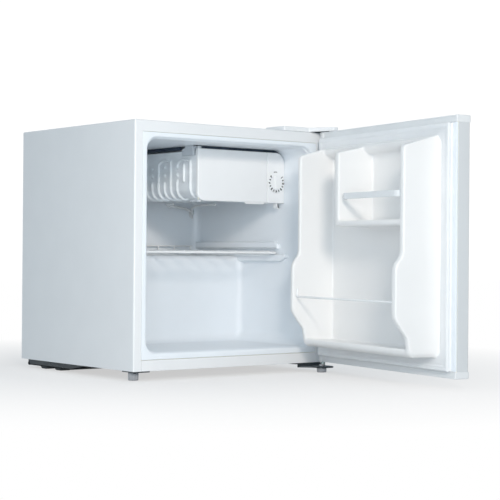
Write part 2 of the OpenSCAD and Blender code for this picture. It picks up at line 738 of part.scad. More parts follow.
foot_thread_r = 3;
nut_h = 5;
module foot_nuts() color("silver") {
    translate([foot_left[0], foot_left[1], z0 + sheet]) difference() {
        cylinder(h = nut_h, r = 7.4, $fn = 6);
        translate([0, 0, -1]) cylinder(h = 9, r = foot_thread_r + running);
    }
    translate([foot_right[0], foot_right[1], z0 - 6]) difference() {
        cylinder(h = 4, r = 5.5, $fn = 6);
        translate([0, 0, -1]) cylinder(h = 9, r = foot_thread_r + running);
    }
}

// screw-in foot: a ribbed disc, a neck and its threaded stem
module screw_foot(x, y, disc_h, stem_top) translate([x, y, 0]) {
    translate([0, 0, 1]) cylinder(h = disc_h - 1, r = foot_r, $fn = 96);
    cylinder(h = 1, r1 = foot_r - 1, r2 = foot_r);
    cylinder(h = stem_top, r = foot_thread_r);
}
module left_front_foot() color("darkgray")
    screw_foot(foot_left[0], foot_left[1], z0 - 2.8, z0 + 8);
module right_front_foot() color("darkgray")
    screw_foot(foot_right[0], foot_right[1], z0 - 9.4, z0 - 2.2);

// plugs in the spare hinge holes on the other side
module hinge_hole_plugs() color("white") for (s = top_screws) translate([-s[0], s[1], 0]) {
    translate([0, 0, z1 - 6]) cylinder(h = 6 + e, r = 2.9);
    translate([0, 0, z1]) cylinder(h = 1.2, r1 = 5.5, r2 = 4.8);
}

// ---------- door ----------

module door_outer_panel() color("whitesmoke") on_door() {
    za = door_z0 + cap_h;
    zb = door_z1 - cap_h;
    door_block(0, door_w, door_t - skin_t, door_t - skin_t + sheet, za, zb);
    for (u = [0, door_w - sheet]) door_block(u, u + sheet, 0, door_t - skin_t, za, zb);
    for (u = [sheet, door_w - 11]) door_block(u, u + 10, 0, sheet, za, zb);
}

// caps close the foam at both ends and hold the bushes
module end_cap(za, zb, lip_z0, lip_z1) difference() {
    union() {
        door_block(-0.2, door_w + 0.2, 0, door_t, za, zb);
        door_block(1, door_w - 1, -0.8, 0, lip_z0, lip_z1);
        translate([pivot_x, pivot_y, za]) cylinder(h = zb - za, r = boss_r);
    }
    translate([pivot_x, pivot_y, za - 1]) cylinder(h = zb - za + 2, r = bush_r);
}
module door_top_cap() color("gainsboro") on_door()
    end_cap(door_z1 - cap_h, door_z1, door_z1 - 3, door_z1);
module door_bottom_cap() color("gainsboro") on_door()
    end_cap(door_z0, door_z0 + cap_h, door_z0, door_z0 + 7);

module door_bushes() color("white") on_door() for (z = [door_z0, door_z1 - cap_h])
    translate([pivot_x, pivot_y, z]) difference() {
        cylinder(h = cap_h, r = bush_r);
        translate([0, 0, -1]) cylinder(h = cap_h + 2, r = pin_r + running);
    }

module door_cap_screws() color("silver") on_door() for (x = [-190, 0, 180]) {
    translate([x, door_y - 14, door_z1]) cylinder(h = 1.2, r = 3.2);
    translate([x, door_y - 14, door_z0 - 1]) cylinder(h = 1, r = 3.2);
}

// the racks are hollow from behind: a core, smaller by inset, is cut out through the sheet
function behind(inset) = inset > 0 ? flange_t + 1 : 0;

// side wall of the racks, drawn as depth and height; low is the height of its underside
module dyke_profile(inset, low) polygon([
    [-behind(inset), plateau_z0 + inset], [0, plateau_z0 + inset], [10, low + inset],
    [58 - inset, low + inset], [66 - inset, low + 8 + inset], [71 - inset, 92],
    [rack_d - inset, 122], [rack_d - inset, 222 - inset],
    [dyke_d - inset, 248 - inset], [dyke_d - inset, 435], [75 - inset, 442.8 - inset],
    [0, plateau_z1 - inset], [-behind(inset), plateau_z1 - inset]]);

// a shape drawn as depth and height, carried across the door from u0 to u1
module across(u0, u1) translate([door_edge_x, door_y, 0]) mirror([1, 0, 0]) along_x(u0, u1) children();

// everything that stands on the liner's flat flange
module racks(inset) {
    across(dyke_u0 + inset, dyke_u1 - inset) dyke_profile(inset, rack_z0);
    // the free side wall is stepped up at its outside, to swing past the opening's round corner
    across(free_u0 + inset, free_u1 - inset) dyke_profile(inset, rack_z0 + 8);
    across(free_u0 + inset, free_u1 - 7 - inset) dyke_profile(inset, rack_z0);
    // sloping roof between the side walls
    across(dyke_u0 + inset, free_u1 - inset) polygon([[-behind(inset), 444 + inset],
        [18 - inset, 446 + inset], [27 - inset, 456 - inset], [0, plateau_z1 - inset],
        [-behind(inset), plateau_z1 - inset]]);
    // bottle rack floor with a low lip
    across(dyke_u0 + inset, free_u1 - 7 - inset) polygon([[-behind(inset), plateau_z0 + inset],
        [0, plateau_z0 + inset], [10, rack_z0 + inset], [58 - inset, rack_z0 + inset],
        [66 - inset, rack_z0 + 8 + inset],
        [66 - inset, rack_floor_z + 2 - inset], [60, rack_floor_z - inset],
        [-behind(inset), rack_floor_z - inset]]);
    // wall and floor of the upper box
    door_block(box_u0 + inset, box_u1 - inset, inset - dyke_d, behind(inset), box_floor_z0 + inset,
        446 - inset);
    door_block(box_u0 + inset, free_u0 + inset + 1, inset - dyke_d, behind(inset),
        box_floor_z0 + inset, box_floor_z1 - inset);
}

module door_liner() color("white") on_door() difference() {
    union() {
        racks(0);
        door_block(11.2, door_w - 11.2, 0, flange_t, door_z0 + cap_h, door_z1 - cap_h);
    }
    racks(2.2);
}

module door_foam() color("khaki") on_door() difference() {
    door_block(sheet, door_w - sheet, 0, door_t - skin_t, door_z0 + cap_h, door_z1 - cap_h);
    door_block(0, door_w, -1, flange_t, 0, z1);
}

gasket_u0 = 12;
gasket_u1 = 460;
gasket_z0 = 33.5;
gasket_z1 = 482;
bulb_w = 13;
bulb_h = 10.5;
module ring(d0, d1, t0, t1) difference() {
    door_block(gasket_u0 + d0, gasket_u1 - d0, t0, t1, gasket_z0 + d0, gasket_z1 - d0);
    door_block(gasket_u0 + d1, gasket_u1 - d1, t0 - 1, t1 + 1, gasket_z0 + d1, gasket_z1 - d1);
}
module door_gasket() color("#e8ecec") on_door() difference() {
    union() {
        ring(0, 14, -2.2, 0);
        ring(0, bulb_w, -bulb_h, -2.2 + e);
    }
    ring(2.5, bulb_w - 2.5, -bulb_h + 1, -bulb_h + 4.4);
}
module gasket_magnets() color("#50443c") on_door() ring(2.7, bulb_w - 2.7, -bulb_h + 1.2, -bulb_h + 4.2);

// flat bar across the upper box, its ends bent back to the wall
module upper_shelf_bar() color("ghostwhite") on_door() {
    t = -dyke_d + 2;
    door_block(box_u1 + 9, free_u0 - 9, t, t + 2.4, 349, 361);
    for (s = [0, 1]) {
        u = s == 0 ? box_u1 : free_u0;
        d = s == 0 ? 1 : -1;
        translate([door_edge_x, door_y, 349]) mirror([1, 0, 0]) linear_extrude(12)
            polygon([[u + d * 0.1, -t - 14], [u + d * 9.1, -t], [u + d * 9.1, -t - 2.4],
                [u + d * 0.1, -t - 17]]);
    }
}

// round wire across the bottle rack, its ends bent up along the side walls
module lower_shelf_rod() color("white") on_door() {
    x0 = door_edge_x - free_u0 + 2.2;
    x1 = door_edge_x - dyke_u1 - 2.2;
    y = door_y + rack_d - 8;
    pipe([[x0, y, 170], [x0, y, 157], [x1, y, 157], [x1, y, 170]], 2);
}

outer_wrap();
front_cross_rail();
bottom_panel();
rear_panel();
rear_panel_screws();
inner_liner();
cabinet_foam();
compressor_base();
rear_feet();
compressor_shell();
compressor_stator();
pump_block();
compressor_rotor();
compressor_grommets();
compressor_bolts();
relay_cover();
filter_drier();
discharge_tube();
suction_tube();
condenser_coil();
cord_gland();
evaporator();
evaporator_hangers();
evaporator_seal_strip();
evaporator_tubes();
tube_grommet();
thermostat_housing();
thermostat_control();
thermostat_bulb();
housing_screw();
thermostat_knob();
freezer_flap();
flap_pins();
wire_shelf();
top_hinge_bracket();
top_hinge_pin();
top_hinge_screws();
top_hinge_cover();
bottom_hinge_bracket();
bottom_hinge_pin();
bottom_hinge_screws();
left_foot_bracket();
foot_nuts();
hinge_hole_plugs();
left_front_foot();
right_front_foot();
door_outer_panel();
door_foam();
door_liner();
door_top_cap();
door_bottom_cap();
door_cap_screws();
door_bushes();
door_gasket();
gasket_magnets();
upper_shelf_bar();
lower_shelf_rod();
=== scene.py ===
import json
from math import cos, hypot, pi, radians, sin, tan

import bmesh
import bpy
from mathutils import Matrix, Quaternion, Vector


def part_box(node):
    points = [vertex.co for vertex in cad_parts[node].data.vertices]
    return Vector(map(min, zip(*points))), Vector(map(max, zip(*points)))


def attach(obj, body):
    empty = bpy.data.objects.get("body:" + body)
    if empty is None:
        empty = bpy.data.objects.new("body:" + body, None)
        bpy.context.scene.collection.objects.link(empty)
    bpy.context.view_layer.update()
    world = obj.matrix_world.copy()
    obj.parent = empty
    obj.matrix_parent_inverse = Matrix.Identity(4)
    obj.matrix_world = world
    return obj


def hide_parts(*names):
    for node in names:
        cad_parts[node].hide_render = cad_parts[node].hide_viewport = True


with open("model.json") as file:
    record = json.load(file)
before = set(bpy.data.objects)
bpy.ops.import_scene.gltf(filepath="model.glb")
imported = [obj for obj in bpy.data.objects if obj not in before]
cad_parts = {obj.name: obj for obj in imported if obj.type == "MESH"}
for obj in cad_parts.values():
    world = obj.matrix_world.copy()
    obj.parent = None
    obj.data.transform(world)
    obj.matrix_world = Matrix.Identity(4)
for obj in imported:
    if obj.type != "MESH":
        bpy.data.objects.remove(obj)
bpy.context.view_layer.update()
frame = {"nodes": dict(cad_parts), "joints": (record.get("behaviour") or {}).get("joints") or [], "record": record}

MM = 0.001
SCENE = bpy.context.scene


# ---------- places taken from the frame, in millimetres ----------

JOINTS = {j["name"]: j for j in frame["joints"]}


def joint_place(name):
    return [c * 1000 for c in JOINTS[name]["pos_m"]]


def cad_box(node):
    low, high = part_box(node)
    return [c * 1000 for c in low], [c * 1000 for c in high]


def box_centre(node):
    low, high = cad_box(node)
    return [(a + b) / 2 for a, b in zip(low, high)]


WRAP_LOW, WRAP_HIGH = cad_box("outer_wrap")
HALF_W, FRONT, BACK = WRAP_HIGH[0], WRAP_LOW[1], WRAP_HIGH[1]
Z0, Z1 = WRAP_LOW[2], WRAP_HIGH[2]
PIVOT = joint_place("door_hinge")[:2]
OPEN = radians(-JOINTS["door_hinge"]["range_deg"][0])
TURN = (Matrix.Translation((PIVOT[0] * MM, PIVOT[1] * MM, 0)) @ Matrix.Rotation(OPEN, 4, "Z")
        @ Matrix.Translation((-PIVOT[0] * MM, -PIVOT[1] * MM, 0)))
EDGE_X = PIVOT[0] + 9.75            # hinge edge of the closed door
DOOR_Y = PIVOT[1] + 4.7             # inner plane of the closed door
DOOR_W, DOOR_T, CAP_H = 472, 32, 13
DOOR_Z0, DOOR_Z1 = Z0 + 2, Z1
FLAP_LOW, FLAP_HIGH = cad_box("freezer_flap")
HOUSE_LOW, HOUSE_HIGH = cad_box("thermostat_housing")
EVAP_LOW, EVAP_HIGH = cad_box("evaporator")
FLAP_Y = FLAP_LOW[1]
FLAP_Z0 = FLAP_LOW[2] + 3.5         # the finger lip hangs below the flap itself
FLAP_Z1 = FLAP_HIGH[2]
KNOB_X, _, KNOB_Z = joint_place("knob_turn")
KNOB_Y, KNOB_T = FLAP_Y - 0.4, 2.6
TUBE_X, _, TUBE_Z = box_centre("tube_grommet")


# ---------- materials ----------

MATERIALS = {}


def connect(tree, node, inputs):
    """Each input is a value, or the output socket that feeds it."""
    for name, value in inputs.items():
        if isinstance(value, bpy.types.NodeSocket):
            tree.links.new(value, node.inputs[name])
        else:
            node.inputs[name].default_value = value
    return node


def add_node(tree, kind, inputs=None, **settings):
    node = tree.nodes.new(kind)
    for name, value in settings.items():
        setattr(node, name, value)
    return connect(tree, node, inputs or {})


def surface(name, colour, rough, metal=0.0, coat=0.0, mottle=0.03, mottle_scale=18.0,
            grain=0.04, grain_scale=900.0, rough_spread=0.06, tint=None, stretch=(1, 1, 1),
            spangle=0.0):
    """Principled material: mottled colour, uneven roughness and fine bump, all from noise."""
    made = MATERIALS[name] = bpy.data.materials.new(name)
    made.use_nodes = True
    tree = made.node_tree
    place = add_node(tree, "ShaderNodeTexCoord").outputs["Object"]
    place = add_node(tree, "ShaderNodeMapping", {
        "Scale": stretch, "Vector": place}).outputs["Vector"]
    blotch = add_node(tree, "ShaderNodeTexNoise", {
        "Scale": mottle_scale, "Detail": 5.0, "Vector": place}).outputs["Fac"]
    spread = add_node(tree, "ShaderNodeMapRange", {
        "From Min": 0.35, "From Max": 0.7, "Value": blotch}).outputs["Result"]
    other = tint or [c * (1 - mottle) for c in colour]
    base = add_node(tree, "ShaderNodeMix", {
        "A": (*colour, 1), "B": (*other, 1), "Factor": spread},
        data_type="RGBA").outputs["Result"]
    uneven = add_node(tree, "ShaderNodeMapRange", {
        "To Min": max(0.03, rough - rough_spread), "To Max": min(1.0, rough + rough_spread),
        "Value": blotch}).outputs["Result"]
    if spangle:
        cells = add_node(tree, "ShaderNodeTexVoronoi", {"Scale": spangle, "Vector": place})
        base = add_node(tree, "ShaderNodeMix", {
            "Factor": 0.25, "A": base, "B": cells.outputs["Color"]},
            data_type="RGBA", blend_type="MULTIPLY").outputs["Result"]
        height = cells.outputs["Distance"]
    else:
        height = add_node(tree, "ShaderNodeTexNoise", {
            "Scale": grain_scale, "Detail": 3.0, "Vector": place}).outputs["Fac"]
    bump = add_node(tree, "ShaderNodeBump", {
        "Strength": grain, "Distance": 0.001, "Height": height})
    connect(tree, tree.nodes["Principled BSDF"], {
        "Metallic": metal, "IOR": 1.5, "Coat Weight": coat, "Coat Roughness": 0.12,
        "Base Color": base, "Roughness": uneven, "Normal": bump.outputs["Normal"]})
    return made


surface("white_steel", (0.83, 0.84, 0.845), 0.34, coat=0.25, mottle=0.02, grain=0.10,
        grain_scale=420)
# the liner plastic's own white with a blue tint added: painted shade, giving the shaded cavity its blue cast
surface("white_liner", (0.85, 0.895, 0.935), 0.36, mottle=0.025, coat=0.15, grain=0.06,
        grain_scale=260, mottle_scale=9)
surface("white_plastic", (0.89, 0.90, 0.905), 0.38, mottle=0.02, grain=0.07, grain_scale=700)
surface("grey_white_plastic", (0.60, 0.64, 0.68), 0.45, mottle=0.05, grain=0.10,
        grain_scale=800)
surface("cap_white", (0.80, 0.815, 0.82), 0.42, mottle=0.025, grain=0.14, grain_scale=1100)
surface("gasket_white", (0.85, 0.865, 0.875), 0.55, mottle=0.04, grain=0.10, grain_scale=600,
        rough_spread=0.1)
surface("white_wire", (0.93, 0.94, 0.94), 0.25, coat=0.4, mottle=0.03, grain=0.10,
        grain_scale=500)
surface("white_sleeve", (0.74, 0.75, 0.75), 0.4, mottle=0.06, grain=0.06, grain_scale=400)
surface("clear_white_bar", (0.80, 0.82, 0.83), 0.2, coat=0.3, mottle=0.03, grain=0.03,
        grain_scale=500)
surface("evaporator_aluminium", (0.94, 0.98, 1.0), 0.32, mottle=0.14, mottle_scale=45,
        grain=0.12, grain_scale=900, rough_spread=0.14, stretch=(1, 0.35, 1))
# near-black navy of the strip over the ice box: painted shade for the deep gap there
surface("grey_foam_strip", (0.025, 0.04, 0.065), 0.85, mottle=0.3, mottle_scale=260,
        grain=0.5, grain_scale=1500)
surface("dark_steel", (0.045, 0.055, 0.062), 0.38, metal=0.4, mottle=0.35, mottle_scale=60,
        grain=0.15, grain_scale=1300, rough_spread=0.12)
surface("black_steel", (0.022, 0.025, 0.028), 0.32, coat=0.3, mottle=0.4,
        tint=(0.06, 0.058, 0.055), mottle_scale=30, grain=0.16, grain_scale=700,
        rough_spread=0.14)
surface("black_plastic", (0.03, 0.034, 0.038), 0.5, mottle=0.25, mottle_scale=40, grain=0.25,
        grain_scale=1600)
surface("black_rubber", (0.02, 0.02, 0.021), 0.7, mottle=0.3, mottle_scale=90, grain=0.3,
        grain_scale=1800)
surface("foot_grey", (0.33, 0.34, 0.36), 0.45, mottle=0.12, mottle_scale=120, grain=0.2,
        grain_scale=1500)
surface("zinc_steel", (0.62, 0.64, 0.65), 0.34, metal=0.9, mottle=0.1, mottle_scale=70,
        grain=0.12, spangle=110, rough_spread=0.12)
surface("grey_steel", (0.56, 0.58, 0.60), 0.42, metal=0.25, mottle=0.06, mottle_scale=25,
        grain=0.12, grain_scale=500, rough_spread=0.1)
surface("copper", (0.80, 0.43, 0.28), 0.3, metal=1.0, tint=(0.42, 0.22, 0.15),
        mottle_scale=55, grain=0.08, grain_scale=600, rough_spread=0.15)
surface("coil_steel", (0.08, 0.08, 0.085), 0.5, metal=0.4, mottle=0.3, mottle_scale=60,
        grain=0.15)
surface("cast_block", (0.25, 0.26, 0.27), 0.6, metal=0.7, mottle=0.3, mottle_scale=90,
        grain=0.35, grain_scale=700)
surface("foam", (0.83, 0.77, 0.50), 0.9, mottle=0.2, mottle_scale=160, grain=0.6,
        grain_scale=500)
surface("magnet_brown", (0.13, 0.10, 0.085), 0.7, mottle=0.3, mottle_scale=120, grain=0.3)
surface("dial_ink", (0.012, 0.012, 0.014), 0.5, mottle=0.3, mottle_scale=300, grain=0.1)
# dark grey of the painted shadow arc above the knob
surface("knob_shadow_ink", (0.10, 0.10, 0.105), 0.5, mottle=0.2, mottle_scale=300, grain=0.1)
# lit and shaded copies of the cabinet's materials for the door: the same liner plastic made warmer, painting the
# warm light on the door's lit faces, and the same steel paint made darker and greyer, painting the shade on the
# door's edge
surface("door_liner_lit_white", (0.87, 0.865, 0.855), 0.36, mottle=0.025, coat=0.15, grain=0.06,
        grain_scale=260, mottle_scale=9)
surface("door_shaded_paint", (0.66, 0.68, 0.69), 0.34, coat=0.25, mottle=0.02, grain=0.10,
        grain_scale=420)


# ---------- mesh code ----------

def arc(cx, cy, r, a0, a1, n):
    """n + 1 points of an arc; its angles are in degrees."""
    angles = [radians(a0 + (a1 - a0) * i / n) for i in range(n + 1)]
    return [(cx + r * cos(a), cy + r * sin(a)) for a in angles]


def circle(n):
    """Cosine and sine of n equal steps round a circle."""
    return [(cos(2 * pi * i / n), sin(2 * pi * i / n)) for i in range(n)]


def carried(outline, axis, height):
    """The outline's points, given in the two other axes, at a height along axis."""
    k = "xyz".index(axis)
    return [(*p[:k], height, *p[k:]) for p in outline]


def rounded_rect(x0, x1, z0, z1, radii, n=8):
    """Closed outline, anticlockwise from the lower left corner; radii are ll, lr, ur, ul."""
    ll, lr, ur, ul = [radii] * 4 if isinstance(radii, (int, float)) else radii
    return (arc(x0 + ll, z0 + ll, ll, 180, 270, n) + arc(x1 - lr, z0 + lr, lr, 270, 360, n)
            + arc(x1 - ur, z1 - ur, ur, 0, 90, n) + arc(x0 + ul, z1 - ul, ul, 90, 180, n))


def bend(start, corner, end, n):
    """Quadratic curve from start to end, drawn towards the corner."""
    return [start * (1 - t) ** 2 + corner * 2 * t * (1 - t) + end * t * t
            for t in (k / n for k in range(n + 1))]


def smooth_corners(points, radius, n=5):
    """Rounds the corners of a closed outline; radius is one number or one per corner."""
    out = []
    for i, p in enumerate(points):
        r = radius[i] if isinstance(radius, (list, tuple)) else radius
        p = Vector(p)
        a, b = Vector(points[i - 1]) - p, Vector(points[(i + 1) % len(points)]) - p
        if r <= 0.01 or a.length < 1e-6 or b.length < 1e-6:
            out.append(tuple(p))
            continue
        back = min(r / tan(a.angle(b) / 2), a.length * 0.49, b.length * 0.49)
        curve = bend(p + a.normalized() * back, p, p + b.normalized() * back, n)
        out += [tuple(q) for q in curve]
    return out


def inset(outline, d):
    """The closed outline moved inwards by d, corner by corner."""
    if d == 0:
        return list(outline)
    pts = [Vector(p) for p in outline]
    n = len(pts)

    def direction(i, step):
        k = step
        while (pts[i] - pts[(i + k) % n]).length < 1e-6 and abs(k) < n:
            k += step
        return ((pts[(i + k) % n] - pts[i]) * step).normalized()
    area = sum(outline[i - 1][0] * q[1] - q[0] * outline[i - 1][1]
               for i, q in enumerate(outline))
    turn = 1 if area > 0 else -1
    out = []
    for i, p in enumerate(outline):
        a, b = direction(i, -1), direction(i, 1)
        mid = Vector((-a.y, a.x)) * turn + Vector((-b.y, b.x)) * turn
        mid = mid / max(mid.length_squared / 2, 0.35)
        out.append((p[0] + mid.x * d, p[1] + mid.y * d))
    return out


def round_end(points, radii, levels, at, n=5):
    """Rings of a block whose end is rounded over: bare corners move in, then are rounded."""
    return [[at(p, h) for p in smooth_corners(inset(points, d),
                                              [max(r - d, 0.3) for r in radii], n)]
            for h, d in levels]


def plate_rings(x0, x1, z0, z1, radii, n, levels):
    """Rings of an upright plate with rounded corners; each level is an inset and its Y."""
    return [carried(rounded_rect(x0 + d, x1 - d, z0 + d, z1 - d,
                                 [max(r - d, 0.4) for r in radii], n), "y", y)
            for d, y in levels]


def catmull(points, steps=8):
    """Smooth curve through the points."""
    pts = [Vector(p) for p in points]
    pts = [pts[0] * 2 - pts[1]] + pts + [pts[-1] * 2 - pts[-2]]
    out = []
    for i in range(1, len(pts) - 2):
        p0, p1, p2, p3 = pts[i - 1:i + 3]
        for t in (k / steps for k in range(steps)):
            out.append(0.5 * ((2 * p1) + (p2 - p0) * t + (2 * p0 - 5 * p1 + 4 * p2 - p3) * t * t
                              + (3 * p1 - p0 - 3 * p2 + p3) * t ** 3))
    return out + [pts[-2]]


def bend_path(points, radius, steps=6):
    """Open path with its corners bent round."""
    pts = [Vector(p) for p in points]
    out = [pts[0]]
    for before, p, after in zip(pts, pts[1:], pts[2:]):
        a, b = before - p, after - p
        back = min(radius, a.length * 0.48, b.length * 0.48)
        out += bend(p + a.normalized() * back, p, p + b.normalized() * back, steps)
    return out + [pts[-1]]


class Shape:
    """Collects vertices in millimetres and faces, then becomes one Blender mesh."""

    def __init__(self):
        self.verts, self.faces = [], []

    def add(self, verts, faces):
        base = len(self.verts)
        self.verts += [tuple(v) for v in verts]
        self.faces += [tuple(base + i for i in f) for f in faces]
        return self

    def loft(self, rings, caps=(True, True), ring_closed=True, closed=False):
        """Skin over the rings; closed joins the last ring to the first."""
        n, count = len(rings[0]), len(rings)
        faces = []
        for k in range(count if closed else count - 1):
            a, b = k * n, ((k + 1) % count) * n
            for i in range(n if ring_closed else n - 1):
                j = (i + 1) % n
                faces.append((a + i, a + j, b + j, b + i))
        if caps[0] and not closed:
            faces.append(tuple(reversed(range(n))))
        if caps[1] and not closed:
            faces.append(tuple(range((count - 1) * n, count * n)))
        return self.add([p for ring in rings for p in ring], faces)

    def prism(self, outline, axis, low, high):
        """Outline in the two other axes, in the order X Y Z, carried along axis."""
        return self.loft([carried(outline, axis, h) for h in (low, high)])

    def soft_prism(self, outline, axis, low, high, edge=1.0, n=3, ends=(True, True)):
        """Prism whose two ends are rounded over by edge; the outline shrinks inwards."""
        curve = [(edge * (1 - sin(a)), edge * (1 - cos(a)))
                 for a in (radians(90 * i / n) for i in range(n + 1))]
        levels = [(low + h, d) for h, d in reversed(curve)] if ends[0] else [(low, 0)]
        levels += [(high - h, d) for h, d in curve] if ends[1] else [(high, 0)]
        return self.loft([carried(inset(outline, d), axis, h) for h, d in levels])

    def box(self, a, b, edge=0.8, n=2):
        size = [q - p for p, q in zip(a, b)]
        radius = min(edge, size[0] / 2.1, size[1] / 2.1)
        outline = rounded_rect(a[0], b[0], a[1], b[1], radius, n)
        return self.soft_prism(outline, "z", a[2], b[2], min(edge, size[2] / 2.1), n)

    def lathe(self, profile, centre, axis="z", segments=48):
        """profile: (radius, height) pairs from one end to the other; closed with caps."""
        rings = []
        for r, h in profile:
            ring = carried([(r * c, r * s) for c, s in circle(segments)], axis, h)
            rings.append([tuple(a + b for a, b in zip(p, centre)) for p in ring])
        return self.loft(rings)

    def tube(self, path, radius, segments=12):
        """Round bar along the path, with rounded ends."""
        pts = [Vector(p) for p in path]
        last = len(pts) - 1
        tangents = [(pts[min(i + 1, last)] - pts[max(i - 1, 0)]).normalized()
                    for i in range(last + 1)]
        side = tangents[0].orthogonal().normalized()
        sides = []
        for t in tangents:
            side = (side - t * side.dot(t)).normalized()
            sides.append(side)
        ends = [(radius * cos(radians(a)), radius * sin(radians(a))) for a in (15, 45, 75)]
        stations = ([(0, -along, r) for along, r in ends]
                    + [(i, 0, radius) for i in range(last + 1)]
                    + [(last, along, r) for along, r in reversed(ends)])
        rings = []
        for i, along, r in stations:
            t, u = tangents[i], sides[i]
            v = t.cross(u)
            rings.append([pts[i] + t * along + (u * c + v * s) * r
                          for c, s in circle(segments)])
        return self.loft(rings)

    def mirror_x(self):
        count = len(self.verts)
        self.verts += [(-x, y, z) for x, y, z in self.verts]
        self.faces += [tuple(i + count for i in reversed(f)) for f in self.faces]
        return self

    def mesh(self, name):
        made = bpy.data.meshes.new(name)
        made.from_pydata([Vector(v) * MM for v in self.verts], [], self.faces)
        return made

    def build(self, name, slot, *nodes, **options):
        """Makes the piece; nodes are the CAD nodes that it stands for."""
        return finish_piece(self.mesh(name), name, slot, *nodes, **options)


def new_object(name, data):
    made = bpy.data.objects.new(name, data)
    SCENE.collection.objects.link(made)
    return made


def modify(made, kind, **settings):
    mod = made.modifiers.new(kind.lower(), kind)
    for name, value in settings.items():
        setattr(mod, name, value)


def evaluated_mesh(made):
    bpy.context.view_layer.update()
    graph = bpy.context.evaluated_depsgraph_get()
    return bpy.data.meshes.new_from_object(made.evaluated_get(graph), depsgraph=graph)


def bake_modifiers(made):
    new = evaluated_mesh(made)
    made.modifiers.clear()
    made.data = new


def orient(mesh, is_right, merge=0.0, recalc=True):
    """Makes the faces agree, and turns them all over unless is_right(faces)."""
    bm = bmesh.new()
    bm.from_mesh(mesh)
    if merge:
        bmesh.ops.remove_doubles(bm, verts=bm.verts, dist=merge * MM)
    if recalc:
        bmesh.ops.recalc_face_normals(bm, faces=bm.faces)
    if not is_right(bm.faces):
        bmesh.ops.reverse_faces(bm, faces=bm.faces)
    bm.to_mesh(mesh)
    bm.free()
    return mesh


def finish_piece(mesh, name, slot, *nodes, body="cabinet", look=None, bevel=0.0, angle=32,
                 merge=0.0, solid=0.0, recalc=True):
    """Makes the object, puts it on its body and hides the CAD nodes that it stands for."""
    bm = bmesh.new()
    bm.from_mesh(mesh)
    if merge:
        bmesh.ops.remove_doubles(bm, verts=bm.verts, dist=merge * MM)
    bmesh.ops.dissolve_degenerate(bm, edges=bm.edges, dist=1e-7)
    if recalc:
        bmesh.ops.recalc_face_normals(bm, faces=bm.faces)
    bm.to_mesh(mesh)
    bm.free()
    mesh.materials.clear()
    mesh.materials.append(MATERIALS[look or slot])
    made = new_object(name, mesh)
    if solid:
        modify(made, "SOLIDIFY", thickness=solid * MM, offset=-1, use_even_offset=True)
    if bevel:
        modify(made, "BEVEL", width=bevel * MM, segments=3, limit_method="ANGLE",
               angle_limit=radians(28), harden_normals=False)
    if made.modifiers:
        bake_modifiers(made)
    made.data.polygons.foreach_set("use_smooth", [True] * len(made.data.polygons))
    made.data.set_sharp_from_angle(angle=radians(angle))
    if body == "door":                  # door pieces are made closed
        made.data.transform(TURN)
    made.data.update()
    modify(made, "WEIGHTED_NORMAL", keep_sharp=True)
    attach(made, body)
    if nodes:
        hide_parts(*nodes)
    return made


# ---------- cabinet shell ----------

FLANGE_W, FLANGE_TOP, BEND, SHEET = 18, 22, 3, 1


def wrap_profile():
    """Section of the folded sheet: distance in from the outside, and Y."""
    outer = [(0, BACK), (0, FRONT + BEND)] + [
        (BEND - BEND * cos(radians(a)), FRONT + BEND - BEND * sin(radians(a)))
        for a in (15, 30, 45, 60, 75, 90)]
    edge = [(FLANGE_W - 0.9, FRONT), (FLANGE_W - 0.25, FRONT + 0.25), (FLANGE_W, FRONT + 0.9)]
    inner = [(FLANGE_W, FRONT + 9), (FLANGE_W - SHEET, FRONT + 9),
             (FLANGE_W - SHEET, FRONT + SHEET), (1.2, FRONT + SHEET), (SHEET, FRONT + 2),
             (SHEET, BACK)]
    return outer + edge + inner


def wrap_ring(side, angle=None):
    """The section at the foot of one side, or at an angle round its upper corner."""
    ring = []
    for d, y in wrap_profile():
        r = max(BEND - d, 0.02)
        down = d if d <= BEND else BEND + (d - BEND) * (FLANGE_TOP - BEND) / (FLANGE_W - BEND)
        if angle is None:
            x, z = -HALF_W + d, Z0
        else:
            a = radians(angle)
            x, z = -HALF_W + d + r * (1 - cos(a)), Z1 - down - r * (1 - sin(a))
        ring.append((x * side, y, z))
    return ring


def make_wrap():
    corner = (0, 18, 36, 54, 72, 90)
    rings = ([wrap_ring(1)] + [wrap_ring(1, a) for a in corner]
             + [wrap_ring(-1, a) for a in reversed(corner)] + [wrap_ring(-1)])
    Shape().loft(rings).build("cabinet_wrap", "white_steel", "outer_wrap", merge=0.01, angle=40)


def make_front_rail():
    low, high = cad_box("front_cross_rail")
    y, z = FRONT, high[2]
    section = smooth_corners([(y + 0.02, low[2]), (y + 0.02, z - 0.1), (y + 12, z - 0.1),
                              (y + 12, z - 1.1), (y + 1.1, z - 1.1), (y + 1.1, low[2])],
                             [0.3, 1.2, 0.3, 0.3, 0.5, 0.3], 3)
    Shape().prism(section, "x", low[0], high[0]).build(
        "front_rail", "white_steel", "front_cross_rail")


# ---------- liner ----------

OPEN_W, OPEN_Z0, OPEN_Z1, OPEN_R = 206, 51.5, 464.5, 24
WALL_W, FLOOR_Z, CEIL_Z, LIP, JOINT_Y = 203, 53, 462, 4.5, FRONT + 22
REAR_Y, STEP_Y, STEP_Z = FRONT + 396, FRONT + 234, 238


